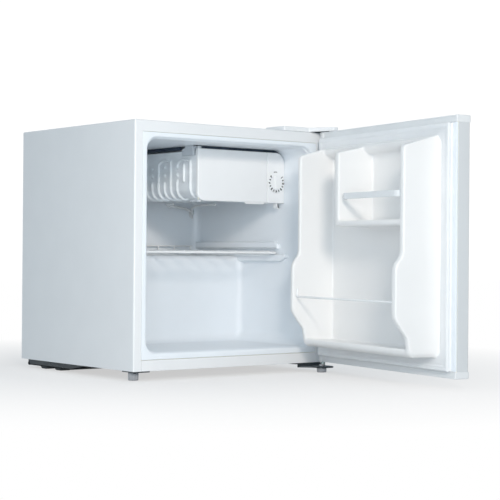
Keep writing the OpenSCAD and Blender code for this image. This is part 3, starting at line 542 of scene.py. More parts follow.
def liner_front():
    """Front frame with its rolled lip, lofted back to where the walls start."""
    def ring(w, za, zb, r, y):
        return carried(rounded_rect(-w, w, za, zb, r, 8), "y", FRONT + y)
    rings = [ring(217.5, 39.3, 473.6, 1.5, 7), ring(217.5, 39.3, 473.6, 1.5, 1.0),
             ring(217.2, 39.6, 473.3, 1.4, 0.3), ring(216.7, 40.1, 472.8, 1.2, 0)]
    for a in (0, 18, 36, 54, 72, 90):
        o = LIP * (1 - sin(radians(a)))
        rings.append(ring(OPEN_W + o, OPEN_Z0 - o, OPEN_Z1 + o, OPEN_R + o,
                          LIP * (1 - cos(radians(a)))))
    for t in (0, 0.25, 0.5, 0.75, 1):
        s = t * t * (3 - 2 * t)
        rings.append(ring(OPEN_W + (WALL_W - OPEN_W) * s, OPEN_Z0 + (FLOOR_Z - OPEN_Z0) * s,
                          OPEN_Z1 + (CEIL_Z - OPEN_Z1) * s, OPEN_R, 5.5 + 4.2 * t))
    rings.append(ring(WALL_W, FLOOR_Z, CEIL_Z, OPEN_R, 22))
    return Shape().loft(rings, caps=(False, False))


def liner_void():
    """The space inside the walls, open at the front, each edge bevelled by its own radius."""
    largest = 24
    profile = [(JOINT_Y, FLOOR_Z), (STEP_Y, FLOOR_Z), (STEP_Y, STEP_Z), (REAR_Y, STEP_Z),
               (REAR_Y, CEIL_Z), (JOINT_Y, CEIL_Z)]
    radius_along = [24, 14, 14, 20, 24]         # the side edge that starts at each corner
    radius_across = [0, 18, 12, 16, 24]         # the edge across at each corner
    bm = bmesh.new()
    left, right = [[bm.verts.new((x * MM, y * MM, z * MM)) for y, z in profile]
                   for x in (-WALL_W, WALL_W)]
    bm.faces.new(left)
    bm.faces.new(reversed(right))
    for i in range(5):
        bm.faces.new((left[i], right[i], right[i + 1], left[i + 1]))
    weight = bm.edges.layers.float.new("bevel_weight_edge")
    for i in range(5):
        for side in (left, right):
            bm.edges.get((side[i], side[i + 1]))[weight] = radius_along[i] / largest
        bm.edges.get((left[i], right[i]))[weight] = radius_across[i] / largest
    void = bpy.data.meshes.new("void")
    bm.to_mesh(void)
    bm.free()
    temp = new_object("void", void)
    modify(temp, "BEVEL", width=largest * MM, segments=8, limit_method="WEIGHT",
           use_clamp_overlap=False, miter_inner="MITER_SHARP")
    bake_modifiers(temp)
    verts = [v.co * 1000 for v in temp.data.vertices]
    faces = [tuple(p.vertices) for p in temp.data.polygons]
    bpy.data.objects.remove(temp)
    return verts, faces


def make_liner():
    mesh = liner_front().add(*liner_void()).mesh("liner")

    def floor_looks_up(faces):
        return max(faces, key=lambda f: f.calc_area() if abs(f.normal.z) > 0.99 and
                   f.calc_center_median().z < 0.06 else 0).normal.z >= 0
    orient(mesh, floor_looks_up, merge=0.25)
    finish_piece(mesh, "inner_shell", "white_liner", "inner_liner", solid=1.8, angle=38,
                 recalc=False)


def make_wall_ribs():
    """Moulded ledges on both side walls: the shelf lies on the lower ones, under the upper."""
    shelf_y, back = FRONT + 100, REAR_Y - 3
    lower = smooth_corners([(FRONT + 73, 242), (back, 242), (back, 230), (STEP_Y + 10, 230),
                            (STEP_Y - 6, 227), (FRONT + 90, 227), (FRONT + 73, 235)],
                           [3, 2, 2, 2, 2, 5, 3], 4)
    upper = smooth_corners([(shelf_y - 1, 253.4), (back, 253.4), (back, 269), (shelf_y + 8, 269),
                            (shelf_y - 1, 262)], [1.5, 2, 2, 3, 3], 4)
    shape = Shape()
    for outline, face in ((lower, 193.1), (upper, 195.1)):
        shape.soft_prism(outline, "x", face, 204, 2.5, 4, ends=(True, False))
    shape.mirror_x().build("wall_ribs", "white_liner")


# ---------- ice box ----------

EVAP_R, RELIEF = 26, 3.4
# embossed channels: place along Y, and the stretches of the sheet that each leg covers
UPPER, LOWER, WHOLE = (30, 62), (66, 200), (22, 200)
LEGS = [(116, WHOLE), (139, UPPER), (162, LOWER), (185, WHOLE), (207, LOWER), (229, UPPER),
        (229, LOWER), (252, LOWER), (274, WHOLE), (297, UPPER), (320, LOWER), (343, WHOLE)]
DIMPLES = [(162, 33), (162, 50), (162, 62), (207, 33), (207, 50), (252, 34), (252, 50),
           (320, 40)]
ARCHES = [(116, 162), (185, 229), (274, 320)]
ARCH_FOOT, ARCH_RISE, LEG_HALF, DIMPLE_R = 32, 14, 3.8, 4.4


def bump_over(distance, width):
    return max(0.0, 1 - (distance / width) ** 2)


def channel_height(y, along, wall):
    """Relief, 0 to 1, at a distance along the sheet from the upper left edge."""
    y -= FRONT
    height = 0.0
    for leg, (top, bottom) in LEGS:
        past = max(top - along, along - min(bottom, wall + 46.0), 0)
        height = max(height, bump_over(hypot(y - leg, past), LEG_HALF))
    for left, right in ARCHES:
        mid, half = (left + right) / 2, (right - left) / 2
        if along < ARCH_FOOT:
            d = hypot(y - mid, (along - ARCH_FOOT) * half / ARCH_RISE)
            height = max(height, bump_over(d - half, LEG_HALF))
    for place, stop in DIMPLES:
        height = max(height, 0.8 * bump_over(hypot(y - place, along - stop), DIMPLE_R))
    return height


def make_evaporator():
    """Closed sheet box: its section runs down the left wall, under the floor and up the right."""
    x0, x1 = EVAP_LOW[0] + 0.2, EVAP_HIGH[0] - 0.2
    z0, z1 = EVAP_LOW[2] + 0.2, EVAP_HIGH[2] - 0.2
    y0, y1 = EVAP_LOW[1], EVAP_HIGH[1]
    xa, xb, zc, wall = x0 + EVAP_R, x1 - EVAP_R, z0 + EVAP_R, z1 - z0 - EVAP_R
    # points of the section, each with the direction that the relief stands out in
    path = [(x0, z1 - wall * i / 50, (-1, 0)) for i in range(51)]
    path += [(x, z, ((x - x0 - EVAP_R) / EVAP_R, (z - z0 - EVAP_R) / EVAP_R))
             for x, z in arc(xa, zc, EVAP_R, 180, 270, 16)[1:]]
    path += [(xa + (x1 - x0 - 2 * EVAP_R) * i / 30, z0, (0, -1)) for i in range(1, 31)]
    path += [(x, z, ((x - x1 + EVAP_R) / EVAP_R, (z - z0 - EVAP_R) / EVAP_R))
             for x, z in arc(xb, zc, EVAP_R, 270, 360, 10)[1:]]
    path.append((x1, z1, (1, 0)))
    along = [0.0]
    for p, q in zip(path, path[1:]):
        along.append(along[-1] + hypot(q[0] - p[0], q[1] - p[1]))
    rings = []
    rows = int((y1 - y0) / 1.3)
    for j in range(rows + 1):
        y = y0 + (y1 - y0) * j / rows
        ring = []
        for (x, z, n), s in zip(path, along):
            flat = y < y0 + 3
            h = -RELIEF if flat else channel_height(y, s, wall) * RELIEF - RELIEF
            ring.append((x + n[0] * h, y, z + n[1] * h))
        rings.append(ring)
    shape = Shape().loft(rings, caps=(False, False), ring_closed=False)
    # folded top and back wall
    left, right, r = x0 + RELIEF, x1 - RELIEF, EVAP_R - RELIEF
    shape.prism([(left, z1 - 0.2), (left, z1 - 2.2), (right, z1 - 2.2), (right, z1 - 0.2)],
                "y", y0, y1)
    back = ([(left, z1 - 1)] + arc(xa, zc, r, 180, 270, 8) + arc(xb, zc, r, 270, 360, 8)
            + [(right, z1 - 1)])
    shape.prism(back, "y", y1 - 2, y1 - 0.4)
    shape.build("roll_bond_box", "evaporator_aluminium", "evaporator", solid=1.2, angle=50)


def make_hangers():
    shape = Shape()
    x0, front, z1 = EVAP_LOW[0], EVAP_LOW[1], EVAP_HIGH[2]
    for y in (front + 2, EVAP_HIGH[1] - 46):
        shape.box((x0 - 3, y, z1 - 12), (x0 + 2.2, y + 40, z1 + 0.6), 1.2, 3)
        shape.box((x0 - 3, y + 1, z1 - 0.2), (x0 + 14, y + 39, z1 + 3), 1.0, 3)
        shape.box((x0 - 3, y + 4, z1 + 2), (x0 + 2, y + 30, CEIL_Z - 0.1), 0.8, 3)
        shape.lathe([(0.2, 0), (2.6, 0), (2.9, 0.4), (2.4, 0.9), (0.2, 1.0)],
                    (x0 - 4.0, y + 10, z1 - 6), "x", 20)
    y, za, zb = FLAP_Y + 1, FLAP_Z0, FLAP_Z1
    shape.box((x0, y, zb + 0.5), (x0 + 9, front + 8, zb + 4), 0.8, 3)
    shape.box((x0, y, za - 2.4), (x0 + 9, front + 14, za + 1.7), 0.8, 3)
    shape.build("ice_box_hangers", "grey_white_plastic", "evaporator_hangers")


def make_gap_shade_strip():
    """Near-black strip that fills the gap over the ice box, along its front and its left side: painted shade that
    darkens the gap.
    """
    shape = Shape()
    x0, z0, z1, y = EVAP_LOW[0], EVAP_HIGH[2] + 0.3, CEIL_Z - 0.1, FLAP_Y + 9
    right = HOUSE_HIGH[0]
    shape.box((x0 + 6, y, z0), (right - 20, y + 9, z1), 1.2, 3)
    shape.box((x0 + 1, y + 60, z0), (x0 + 9, EVAP_HIGH[1] - 4, z1), 1.2, 3)
    # it follows the liner's rounded corner over the housing
    outer = arc(WALL_W - 24, CEIL_Z - 24, 23.6, 90, 6, 10)
    inner = arc(right - 22, FLAP_Z1 - 22, 22.4, 6, 90, 10)
    shape.prism([(right - 24, CEIL_Z - 0.4)] + outer + inner + [(right - 24, z0)],
                "y", y, y + 8)
    shape.build("ice_box_gap_shade", "grey_foam_strip", "evaporator_seal_strip")


def make_tubes():
    z, tz = EVAP_LOW[2] - 3.4, TUBE_Z
    main = catmull([(44, 58, z), (54, 88, z - 0.2), (74, 118, z - 1), (108, 142, z - 2.5),
                    (144, 156, z - 5), (170, 165, z - 10), (184, 175, tz + 1.2),
                    (TUBE_X, 187, tz)])
    second = catmull([(131, 22, z + 0.6), (133, 60, z), (140, 104, z - 1), (154, 138, z - 6),
                      (170, 158, z - 12), (181, 170, tz + 6), (186, 180, tz + 2.4)])
    Shape().tube(main, 3, 14).tube(second, 2.2, 14).build(
        "tube_sleeves", "white_sleeve", "evaporator_tubes")


def make_grommet():
    profile = [(3.3, 5), (6.8, 5), (6.8, -0.2), (10.6, -0.2), (11, -0.6), (10.4, -1.3),
               (8, -1.5), (3.8, -1.4), (3.3, -0.8)]
    rings = [[(TUBE_X + r * c, REAR_Y + y, TUBE_Z + r * s) for r, y in profile]
             for c, s in circle(40)]
    Shape().loft(rings, closed=True).build("tube_collar", "white_sleeve", "tube_grommet")


# ---------- flap, thermostat ----------

def make_flap():
    x0, x1, y0, z0, z1 = FLAP_LOW[0], FLAP_HIGH[0], FLAP_Y, FLAP_Z0, FLAP_Z1
    levels = ((30, 0), (8, 0.05), (2.0, 0.25), (0.9, 0.7), (0.3, 1.4), (0, 2.4), (0, 7.4),
              (0.4, 8), (2.2, 8), (2.7, 7.4), (3.2, 3.0), (4.5, 2.6))
    shape = Shape().loft(plate_rings(x0, x1, z0, z1, (16, 2.2, 2.2, 2.2), 6,
                                     [(d, y0 + y) for d, y in levels]))
    lip = smooth_corners([(95, z0 + 1), (99, z0 - 3.4), (146, z0 - 3.4), (150, z0 + 1)],
                         [1, 2.5, 2.5, 1], 4)
    shape.soft_prism(lip, "y", y0 + 0.5, y0 + 3.2, 0.9, 3)
    # two ribs on the inner side and the two hinge ears
    for xa, xb, deep, za, zb in ((60, 62, 6, z0 + 6, z1 - 6), (120, 122, 6, z0 + 6, z1 - 6),
                                 (1, 10, 7.8, z1 - 14, z1 - 2), (6, 14, 7.8, z0 + 10, z0 + 18)):
        shape.box((x0 + xa, y0 + 2.6, za), (x0 + xb, y0 + deep, zb), 0.6)
    shape.build("ice_box_flap", "white_plastic", "freezer_flap", body="flap")


def make_flap_pins():
    shape = Shape()
    x, y, _ = joint_place("flap_hinge")
    for low, high in ((FLAP_Z0 - 2.2, FLAP_Z0 + 12), (FLAP_Z1 - 10, FLAP_Z1 + 3.8)):
        shape.lathe([(0.3, low), (1.2, low), (1.5, low + 0.4), (1.5, high - 0.4), (1.2, high),
                     (0.3, high)], (x, y, 0), "z", 20)
    shape.build("flap_pivots", "zinc_steel", "flap_pins", body="flap")


def make_housing():
    x0, x1, y0, y1 = HOUSE_LOW[0], HOUSE_HIGH[0], FLAP_Y, HOUSE_HIGH[1]
    z0, z1 = FLAP_Z0, FLAP_Z1
    shape = Shape().loft(plate_rings(x0, x1, z0, z1, (2.0, 2.0, 22, 2.0), 8, [
        (12, y0), (2.0, y0 + 0.15), (0.9, y0 + 0.5), (0.3, y0 + 1.1), (0, y0 + 2.0), (0, y1),
        (2, y1), (2, y0 + 2.4), (6, y0 + 2.2)]))
    shape.box((x0 + 6, y1 - 14, z1 - 1), (x0 + 22, y1, CEIL_Z - 0.1), 0.8)
    # hook under the housing
    kx = KNOB_X
    hook = smooth_corners([(kx + 6, z0 + 1), (kx + 6, z0 - 8.5), (kx + 8.5, z0 - 11),
                           (kx + 14, z0 - 11), (kx + 14, z0 - 8.8), (kx + 9.6, z0 - 8.6),
                           (kx + 8.6, z0 - 7.2), (kx + 8.6, z0 + 1)],
                          [0.2, 1.6, 2, 0.8, 0.8, 0.8, 1.2, 0.2], 4)
    shape.soft_prism(hook, "y", y0 + 3, y0 + 15, 0.7, 3)
    shape.build("thermostat_cover", "white_plastic", "thermostat_housing")


def make_knob_shadow_arc():
    """Grey arc just above the knob's top rim: painted shadow at the top end of the knob's grip bar."""
    outer = arc(KNOB_X, KNOB_Z, 23.4, 80, 104, 10)
    inner = arc(KNOB_X, KNOB_Z, 21.8, 104, 80, 10)
    Shape().prism(outer + inner, "y", FLAP_Y - 0.25, FLAP_Y + 0.4).build(
        "knob_rim_shadow", "grey_white_plastic", look="knob_shadow_ink")


def make_knob():
    y, t = KNOB_Y, KNOB_T
    shape = Shape().lathe([(0.5, y), (20.4, y), (21, y - 0.4), (21, y - t + 1.2),
                           (20.8, y - t + 0.6), (20.4, y - t + 0.2), (19.9, y - t + 0.05),
                           (15.6, y - t), (0.5, y - t)], (KNOB_X, 0, KNOB_Z), "y", 96)
    grip = smooth_corners([(-5.2, -14.6), (5.2, -14.6), (6.0, 0), (5.2, 14.6), (-5.2, 14.6),
                           (-6.0, 0)], [3, 3, 6, 3, 3, 6], 4)
    shape.loft([[(KNOB_X + gx, y - t + h, KNOB_Z + gz) for gx, gz in inset(grip, d)]
                for h, d in ((0.5, 0.0), (-0.6, 0.25), (-1.8, 0.8), (-2.6, 1.5), (-2.9, 2.6))])
    shape.lathe([(0.3, y - 0.5), (3, y - 0.5), (3, y + 15.4), (2.6, y + 16), (0.3, y + 16)],
                (KNOB_X, 0, KNOB_Z), "y", 24)
    shape.build("dial_knob", "white_plastic", "thermostat_knob", body="knob")


MARKS, FIRST_MARK, MARK_SPREAD, MARK_RADIUS = 13, -52, -258, 18.0
INK_PROUD = 0.03


def number_mesh(text):
    curve = bpy.data.curves.new("digit", "FONT")
    curve.body, curve.size, curve.extrude, curve.offset = text, 6.8, 0.06, 0.6
    curve.align_x, curve.align_y = "CENTER", "CENTER"
    curve.resolution_u = 3
    temp = new_object("digit", curve)
    mesh = evaluated_mesh(temp)
    bpy.data.objects.remove(temp)
    return mesh


def bar_mesh():
    mesh = Shape().box((-1.3, -2.2, -0.05), (1.3, 2.2, 0.06), 0.04, 1).mesh("bar")
    mesh.transform(Matrix.Scale(1 / MM, 4))
    return mesh


def make_numbers():
    """Generic numbers 1 to 7 with bars between them round the knob's face, as thin ink."""
    made = bmesh.new()
    for k in range(MARKS):
        turned = radians(FIRST_MARK + MARK_SPREAD * k / (MARKS - 1))
        mesh = bar_mesh() if k % 2 else number_mesh(str(k // 2 + 1))
        # the mark's own plane turns upright, then out to its place with its foot to the centre
        spin = (Matrix.Rotation(-turned, 4, "Y")
                @ Matrix.Translation((0, 0, MARK_RADIUS)))
        upright = Matrix.Rotation(radians(90), 4, "X")
        face = Matrix.Translation((KNOB_X, KNOB_Y - KNOB_T + INK_PROUD, KNOB_Z))
        mesh.transform(face @ spin @ upright)
        mesh.transform(Matrix.Scale(MM, 4))
        made.from_mesh(mesh)
    mesh = bpy.data.meshes.new("numbers")
    made.to_mesh(mesh)
    made.free()
    finish_piece(mesh, "dial_numbers", "white_plastic", look="dial_ink", body="knob",
                 recalc=False)


# ---------- wire shelf ----------

FRAME_R, WIRE_R, PITCH = 2.5, 1.5, 44


def make_shelf():
    low, high = cad_box("wire_shelf")
    shape = Shape()
    rail_z, top = low[2] + FRAME_R, high[2] - WIRE_R
    y0, y1, half = low[1] + FRAME_R, high[1] - FRAME_R, high[0] - FRAME_R
    corners = [Vector((x, y, rail_z)) for x, y in ((-half, y0), (half, y0), (half, y1),
                                                   (-half, y1))]
    path = []
    for i, p in enumerate(corners):
        a, b = corners[i - 1] - p, corners[(i + 1) % 4] - p
        path += bend(p + a.normalized() * 9, p, p + b.normalized() * 9, 6)
    rings = []
    for i, p in enumerate(path):
        t = (path[(i + 1) % len(path)] - path[i - 1]).normalized()
        side = Vector((t.y, -t.x, 0))
        rings.append([p + side * FRAME_R * c + Vector((0, 0, 1)) * FRAME_R * s
                      for c, s in circle(14)])
    shape.loft(rings, closed=True)
    count = int(2 * (half - 12) / PITCH)
    z = rail_z + 2.7
    for i in range(count + 1):
        x = (i - count / 2) * PITCH
        shape.tube(bend_path([(x, y0 - 1.2, rail_z + 0.4), (x, y0 + 1.5, z + 0.4),
                              (x, y0 + 12, z), (x, y1 - 3, z), (x, y1 - 1.3, top)], 5, 5),
                   WIRE_R, 10)
    edge = count / 2 * PITCH + 6
    shape.tube([(-edge, y1 - 1.2, top), (edge, y1 - 1.2, top)], WIRE_R, 10)
    shape.build("shelf_wires", "white_wire", "wire_shelf", body="shelf")


# ---------- hinges, feet and base ----------

def make_top_cover():
    (x0, y0, z0), (x1, y1, z1) = cad_box("top_hinge_cover")
    corners = [(x0, FRONT + 2), (x1 - 37, FRONT + 2), (x1 - 12, y0), (x1, y0), (x1, y1),
               (x1 - 93, y1), (x0, y1 - 12)]
    radii = [3, 6, 4, 3, 6, 8, 8]

    def at(p, z):
        return p[0], p[1], max(z, z0 + (1.4 if p[1] < FRONT - 0.5 else 0))
    shape = Shape()
    for levels in (((z0, 2.0), (z0, 0), (z1 - 2.2, 0), (z1 - 1.3, 0.25), (z1 - 0.6, 0.8),
                    (z1 - 0.15, 1.7), (z1, 2.8)), ((z0, 2.0), (z1 - 2.4, 2.0))):
        shape.loft(round_end(corners, radii, levels, at), caps=(False, True))
    shape.build("hinge_cover", "white_plastic", "top_hinge_cover", merge=0.02)


def make_bracket_bottom():
    shape = Shape()
    h, y, z = HALF_W, FRONT, Z0
    foot_x, foot_y, lobe_y = 207, y - 34, y - 47.6
    plate = smooth_corners([(h - 70, y + 0.2), (h - 2, y + 0.2), (h - 2, y + 48),
                            (h - 70, y + 48)], 5, 4)
    shape.soft_prism(plate, "z", z - 2.6, z - 0.05, 0.6, 2)
    wall = smooth_corners([(h - 66, z - 9), (h - 4, z - 9), (h - 4, z - 0.2),
                           (h - 66, z - 0.2)], 1.5, 3)
    shape.soft_prism(wall, "y", y - 2.6, y + 0.2, 0.6, 2)
    lobe = smooth_corners([(h - 66, y + 0.2), (h - 4, y + 0.2), (h - 1, y - 20),
                           (h - 1, y - 36), (h - 8, lobe_y), (foot_x + 2, lobe_y),
                           (foot_x - 10, y - 42), (h - 46, y - 22)],
                          [2, 3, 4, 8, 7, 9, 9, 14], 6)
    shape.soft_prism(lobe, "z", z - 9, z - 6, 0.8, 3)
    shape.lathe([(0.2, z - 6.2), (5.6, z - 6.2), (5.6, z - 5.4), (4.8, z - 4.6),
                 (0.2, z - 4.4)], (foot_x, foot_y, 0), "z", 24)
    shape.build("bottom_bracket", "dark_steel", "bottom_hinge_bracket")


def make_bottom_pin():
    """Bright pin with its washer, between the lobe and the door."""
    z, centre = Z0, (*PIVOT, 0)
    Shape().lathe([(0.3, z - 9), (2.7, z - 9), (3, z - 8.6), (3, z + 11.6), (2.6, z + 12),
                   (0.3, z + 12)], centre, "z", 32).lathe(
        [(2.9, z - 6), (4.8, z - 6), (5, z - 5.8), (5, z + 0.4), (4.8, z + 0.6),
         (2.9, z + 0.6)], centre, "z", 32).build("bottom_pin", "zinc_steel", "bottom_hinge_pin")


def make_left_bracket():
    (x0, y0, z0), (x1, y1, z1) = cad_box("left_foot_bracket")
    outline = smooth_corners([(x0, y0 + 0.3), (x1, y0 + 0.3), (x1 - 6, y1), (x0, y1)], 4, 4)
    shape = Shape().soft_prism(outline, "z", z0, z1 - 0.05, 0.5, 2)
    for x, y in ((x0 + 6, y0 + 8), (x1 - 9, y0 + 34)):
        shape.lathe([(0.2, z0 - 1.6), (2.6, z0 - 1.5), (3.4, z0 - 0.6), (3.5, z0 + 0.2),
                     (0.2, z0 + 0.2)], (x, y, 0), "z", 20)
    shape.build("left_bracket", "dark_steel", "left_foot_bracket")


def make_foot(side, stem_z):
    """Ribbed round foot and its stem."""
    node = side + "_front_foot"
    low, high = cad_box(node)
    cx, cy, _ = box_centre(node)
    r, top, segments, ribs = (high[0] - low[0]) / 2, Z0 - stem_z, 128, 16
    profile = [(0.3, 0), (r - 1.6, 0), (r - 0.6, 0.5), (r - 0.2, 1.4), (r, top - 2.0),
               (r, top - 1.0), (r - 0.5, top - 0.3), (r - 1.6, top), (3.1, top),
               (3.0, top + 0.3), (3.0, high[2]), (0.3, high[2])]
    rings = []
    for k, (rad, h) in enumerate(profile):
        ring = []
        for i, (c, s) in enumerate(circle(segments)):
            cut = 0.0
            if 2 <= k <= 5:
                cut = 0.7 * max(0.0, cos(2 * pi * i / segments * ribs)) ** 2
            ring.append((cx + (rad - cut) * c, cy + (rad - cut) * s, h))
        rings.append(ring)
    Shape().loft(rings).build(side + "_levelling_foot", "foot_grey", node, body=side + "_foot")


def make_base():
    """Pressed steel tray under the compressor, its front sloping up, with its side cheeks."""
    low, high = cad_box("compressor_base")
    half, y0, y1, top, z = high[0], low[1], BACK - 4, 6.5, Z0
    front = [(y0, z - 0.05), (y0, z - 2), (35, top - 2), (y1, top - 2)]
    tray = smooth_corners(front + [(y1, top), (35.3, top), (y0 + 12, z - 0.05)],
                          [0.3, 1, 12, 0.6, 0.6, 12, 0.3], 5)
    shape = Shape().prism(tray, "x", -half, half)
    cheek = smooth_corners(front + [(y1, z - 0.05)], [0.3, 1, 12, 2, 0.5], 5)
    for x in (-half, half - 2):
        shape.soft_prism(cheek, "x", x, x + 2, 0.4, 2)
    for a, b in ((-half, -(half - 30)), (half - 30, half)):
        shape.lathe([(0.3, a), (3.6, a), (4.4, a + 0.8), (4.4, b - 0.8), (3.6, b), (0.3, b)],
                    (0, BACK - 6, 8), "x", 24)
    shape.build("compressor_tray", "black_steel", "compressor_base")


def make_rear_feet():
    shape = Shape()
    half = cad_box("rear_feet")[1][0]
    for y0, ya, yb, y1, x in ((126.6, 133, 153, 157.4, half), (71.6, 78, 100, 105.4, half - 2)):
        rings = []
        for z, t, d in ((0, 0, 1.2), (0.5, 0.06, 0.4), (1.2, 0.15, 0), (4.4, 0.98, 0),
                        (4.45, 1, 0.4)):
            a, b = ya + (y0 - ya) * t, yb + (y1 - yb) * t
            rings.append(carried(rounded_rect(x - 24 + d, x - d, a + d, b - d, 2.5, 4), "z", z))
        shape.loft(rings)
    shape.mirror_x().build("moulded_feet", "black_plastic", "rear_feet")


# ---------- compressor bay ----------

COMP_X, COMP_Y, _ = joint_place("rotor_spin")
DRIER_X, DRIER_Y = 60, 150


def make_compressor():
    z0, z1, r, dome = 24, cad_box("compressor_shell")[1][2], 56, 26
    profile = [(0.5, z0)]
    profile += [(r - dome + dome * sin(radians(a)), z0 + dome - dome * cos(radians(a)))
                for a in range(0, 91, 10)]
    profile += [(r, 91.4), (r + 2.2, 91.6), (r + 3, 92.4), (r + 3, 96.4), (r + 2.2, 97.2),
                (r, 97.6)]
    profile += [(r - dome + dome * sin(radians(a)), z1 - dome + dome * cos(radians(a)))
                for a in range(90, -1, -10)]
    profile += [(0.5, z1)]
    shape = Shape().lathe(profile, (COMP_X, COMP_Y, 0), "z", 72)
    plate = rounded_rect(COMP_X - 72, COMP_X + 72, COMP_Y - 50, COMP_Y + 50, 12, 6)
    shape.soft_prism(plate, "z", z0 - 3, z0, 0.8, 2)
    shape.build("compressor_can", "black_steel", "compressor_shell")


def make_bolts():
    bolts, rubber = Shape(), Shape()
    for x in (-62, 62):
        for y in (-40, 40):
            c = (COMP_X + x, COMP_Y + y, 0)
            bolts.lathe([(0.2, 4.5), (2.9, 4.5), (2.9, 29), (0.2, 29)], c, "z", 16)
            bolts.lathe([(3, 26.1), (8, 26.1), (8, 27.2), (7.6, 27.3), (3, 27.3)], c, "z", 32)
            bolts.lathe([(3, 27.3), (5.2, 27.4), (5.5, 27.9), (5.5, 30.6), (4.9, 31.2),
                         (3, 31.3)], c, "z", 6)
            rubber.lathe([(3.1, 6.5), (8.6, 6.5), (9, 7), (8.4, 10), (9, 13.4), (8.6, 20.4),
                          (8, 20.9), (5.2, 21), (4.8, 21.6), (4.8, 25.6), (3.1, 26)],
                         c, "z", 32)
    rubber.build("rubber_mounts", "black_rubber", "compressor_grommets")
    bolts.build("compressor_fixings", "zinc_steel", "compressor_bolts")


def make_relay():
    low, high = cad_box("relay_cover")
    shape = Shape().box(low, high, 3, 4)
    shape.box((high[0] - 4, low[1] + 6, low[2] + 14), (high[0] - 0.1, high[1] - 6, low[2] + 22),
              1)
    shape.build("relay_box", "black_plastic", "relay_cover")


def make_pipes():
    cx, cy, x, y, z = COMP_X, COMP_Y, DRIER_X, DRIER_Y, TUBE_Z
    Shape().tube(bend_path([(cx + 30, cy - 48.9, 130), (cx + 30, cy - 58, 130),
                            (cx + 30, cy - 58, 190), (x, cy - 58, 190), (x, y, 190),
                            (x, y, 154)], 10), 2.2, 14).build(
        "discharge_pipe", "copper", "discharge_tube")
    channel = BACK - 9
    thin = channel - 6
    shape = Shape().tube(bend_path([
        (TUBE_X, REAR_Y + 5.3, z), (TUBE_X, channel, z), (TUBE_X, channel, 182),
        (cx + 40, channel, 182), (cx + 40, channel, 112), (cx + 40, cy + 42.6, 112)], 12),
        3, 14)
    shape.tube(bend_path([(TUBE_X, thin, z), (168, thin, z), (168, thin, 44), (x, thin, 44),
                          (x, y, 44), (x, y, 52)], 6, 5), 1.2, 10)
    shape.build("suction_pipe", "copper", "suction_tube")
    Shape().lathe([(0.4, 50), (2.2, 50), (2.4, 52), (5, 57), (8.4, 61), (9, 63), (9, 141),
                   (8.4, 143), (5, 147.5), (2.4, 152), (2.2, 154), (0.4, 154)],
                  (x, y, 0), "z", 32).build("drier_can", "copper", "filter_drier")


PRESSED_X, PRESSED_HALF_X, PRESSED_HALF_Z, PRESSED_R, PRESSED_RELIEF = 112, 86, 100, 14, 0.85


def make_rear_panel():
    """Flat sheet with two pressed panels, so that it doesn't drum."""
    (x0, _, z0), (x1, y, z1) = cad_box("rear_panel")
    nx, nz = 94, 58

    def relief(x, z):
        best = 0.0
        for cx in (-PRESSED_X, PRESSED_X):
            dx = abs(x - cx) - PRESSED_HALF_X + PRESSED_R
            dz = abs(z - (z0 + z1) / 2) - PRESSED_HALF_Z + PRESSED_R
            d = hypot(max(dx, 0), max(dz, 0)) - PRESSED_R + min(max(dx, dz), 0)
            best = max(best, bump_over(d, 5.0))
        return best
    rings = []
    for j in range(nz + 1):
        z = z0 + (z1 - z0) * j / nz
        xs = [x0 + (x1 - x0) * i / nx for i in range(nx + 1)]
        rings.append([(x, y - PRESSED_RELIEF * relief(x, z), z) for x in xs])
    mesh = Shape().loft(rings, caps=(False, False), ring_closed=False).mesh("rear")
    orient(mesh, lambda faces: sum(f.normal.y for f in faces) >= 0, recalc=False)
    finish_piece(mesh, "rear_sheet", "grey_steel", "rear_panel", solid=0.8, angle=60,
                 recalc=False)


def make_screws():
    shape = Shape()
    low, high = cad_box("rear_panel_screws")
    r = 3.8
    for x in (low[0] + r, high[0] - r):
        for z in (low[2] + r, high[2] - r):
            shape.lathe([(0.3, BACK - 8.8), (1.9, BACK - 8.6), (2.0, BACK - 1.8),
                         (3.7, BACK - 0.3), (r, BACK - 0.05), (3.2, BACK), (1.2, BACK),
                         (0.8, BACK - 0.8), (0.3, BACK - 0.8)], (x, 0, z), "y", 24)
    shape.build("rear_screws", "zinc_steel", "rear_panel_screws")


# ---------- door, made closed: u from its hinge edge, d towards the cabinet ----------

def door_point(u, d, z):
    return (EDGE_X - u, DOOR_Y + d, z)


def door_box(shape, u0, u1, d0, d1, z0, z1, edge=0.8, n=3):
    return shape.box(door_point(u1, d0, z0), door_point(u0, d1, z1), edge, n)


def make_door_skin():
    """Folded steel skin, rounded along its two outer edges, with narrow returns at the back."""
    r, t, last = 2.6, 29.5, DOOR_W
    corner = [(r * sin(radians(a)), r * cos(radians(a))) for a in (0, 18, 36, 54, 72, 90)]
    outline = [(5, -4.0), (0.9, -4.0), (0.25, -4.25), (0, -4.9)]
    outline += [(r - c, -t + r - s) for s, c in corner]
    outline += [(last - r + s, -t + r - c) for s, c in corner]
    outline += [(last, -4.9), (last - 0.25, -4.25), (last - 0.9, -4.0), (last - 5, -4.0)]
    rings = [[door_point(u, d, z) for u, d in outline]
             for z in (DOOR_Z0 + CAP_H, DOOR_Z1 - CAP_H)]
    mesh = Shape().loft(rings, caps=(False, False), ring_closed=False).mesh("skin")
    orient(mesh, lambda faces: max(faces, key=lambda f: f.calc_area()).normal.y <= 0)
    # the darker copy of the steel paint paints the shade on the door's edge
    finish_piece(mesh, "door_skin", "white_steel", "door_outer_panel", look="door_shaded_paint",
                 body="door", solid=0.9, angle=40, recalc=False)


def make_flange():
    """Plastic edge of the inner skin, showing as a narrow strip all along the door's edges."""
    door_box(Shape(), 0.6, DOOR_W - 0.6, -3.95, 0.0, DOOR_Z0 + CAP_H + 0.2,
             DOOR_Z1 - CAP_H - 0.2, 1.1, 4).build("door_inner_edge", "white_liner", body="door")


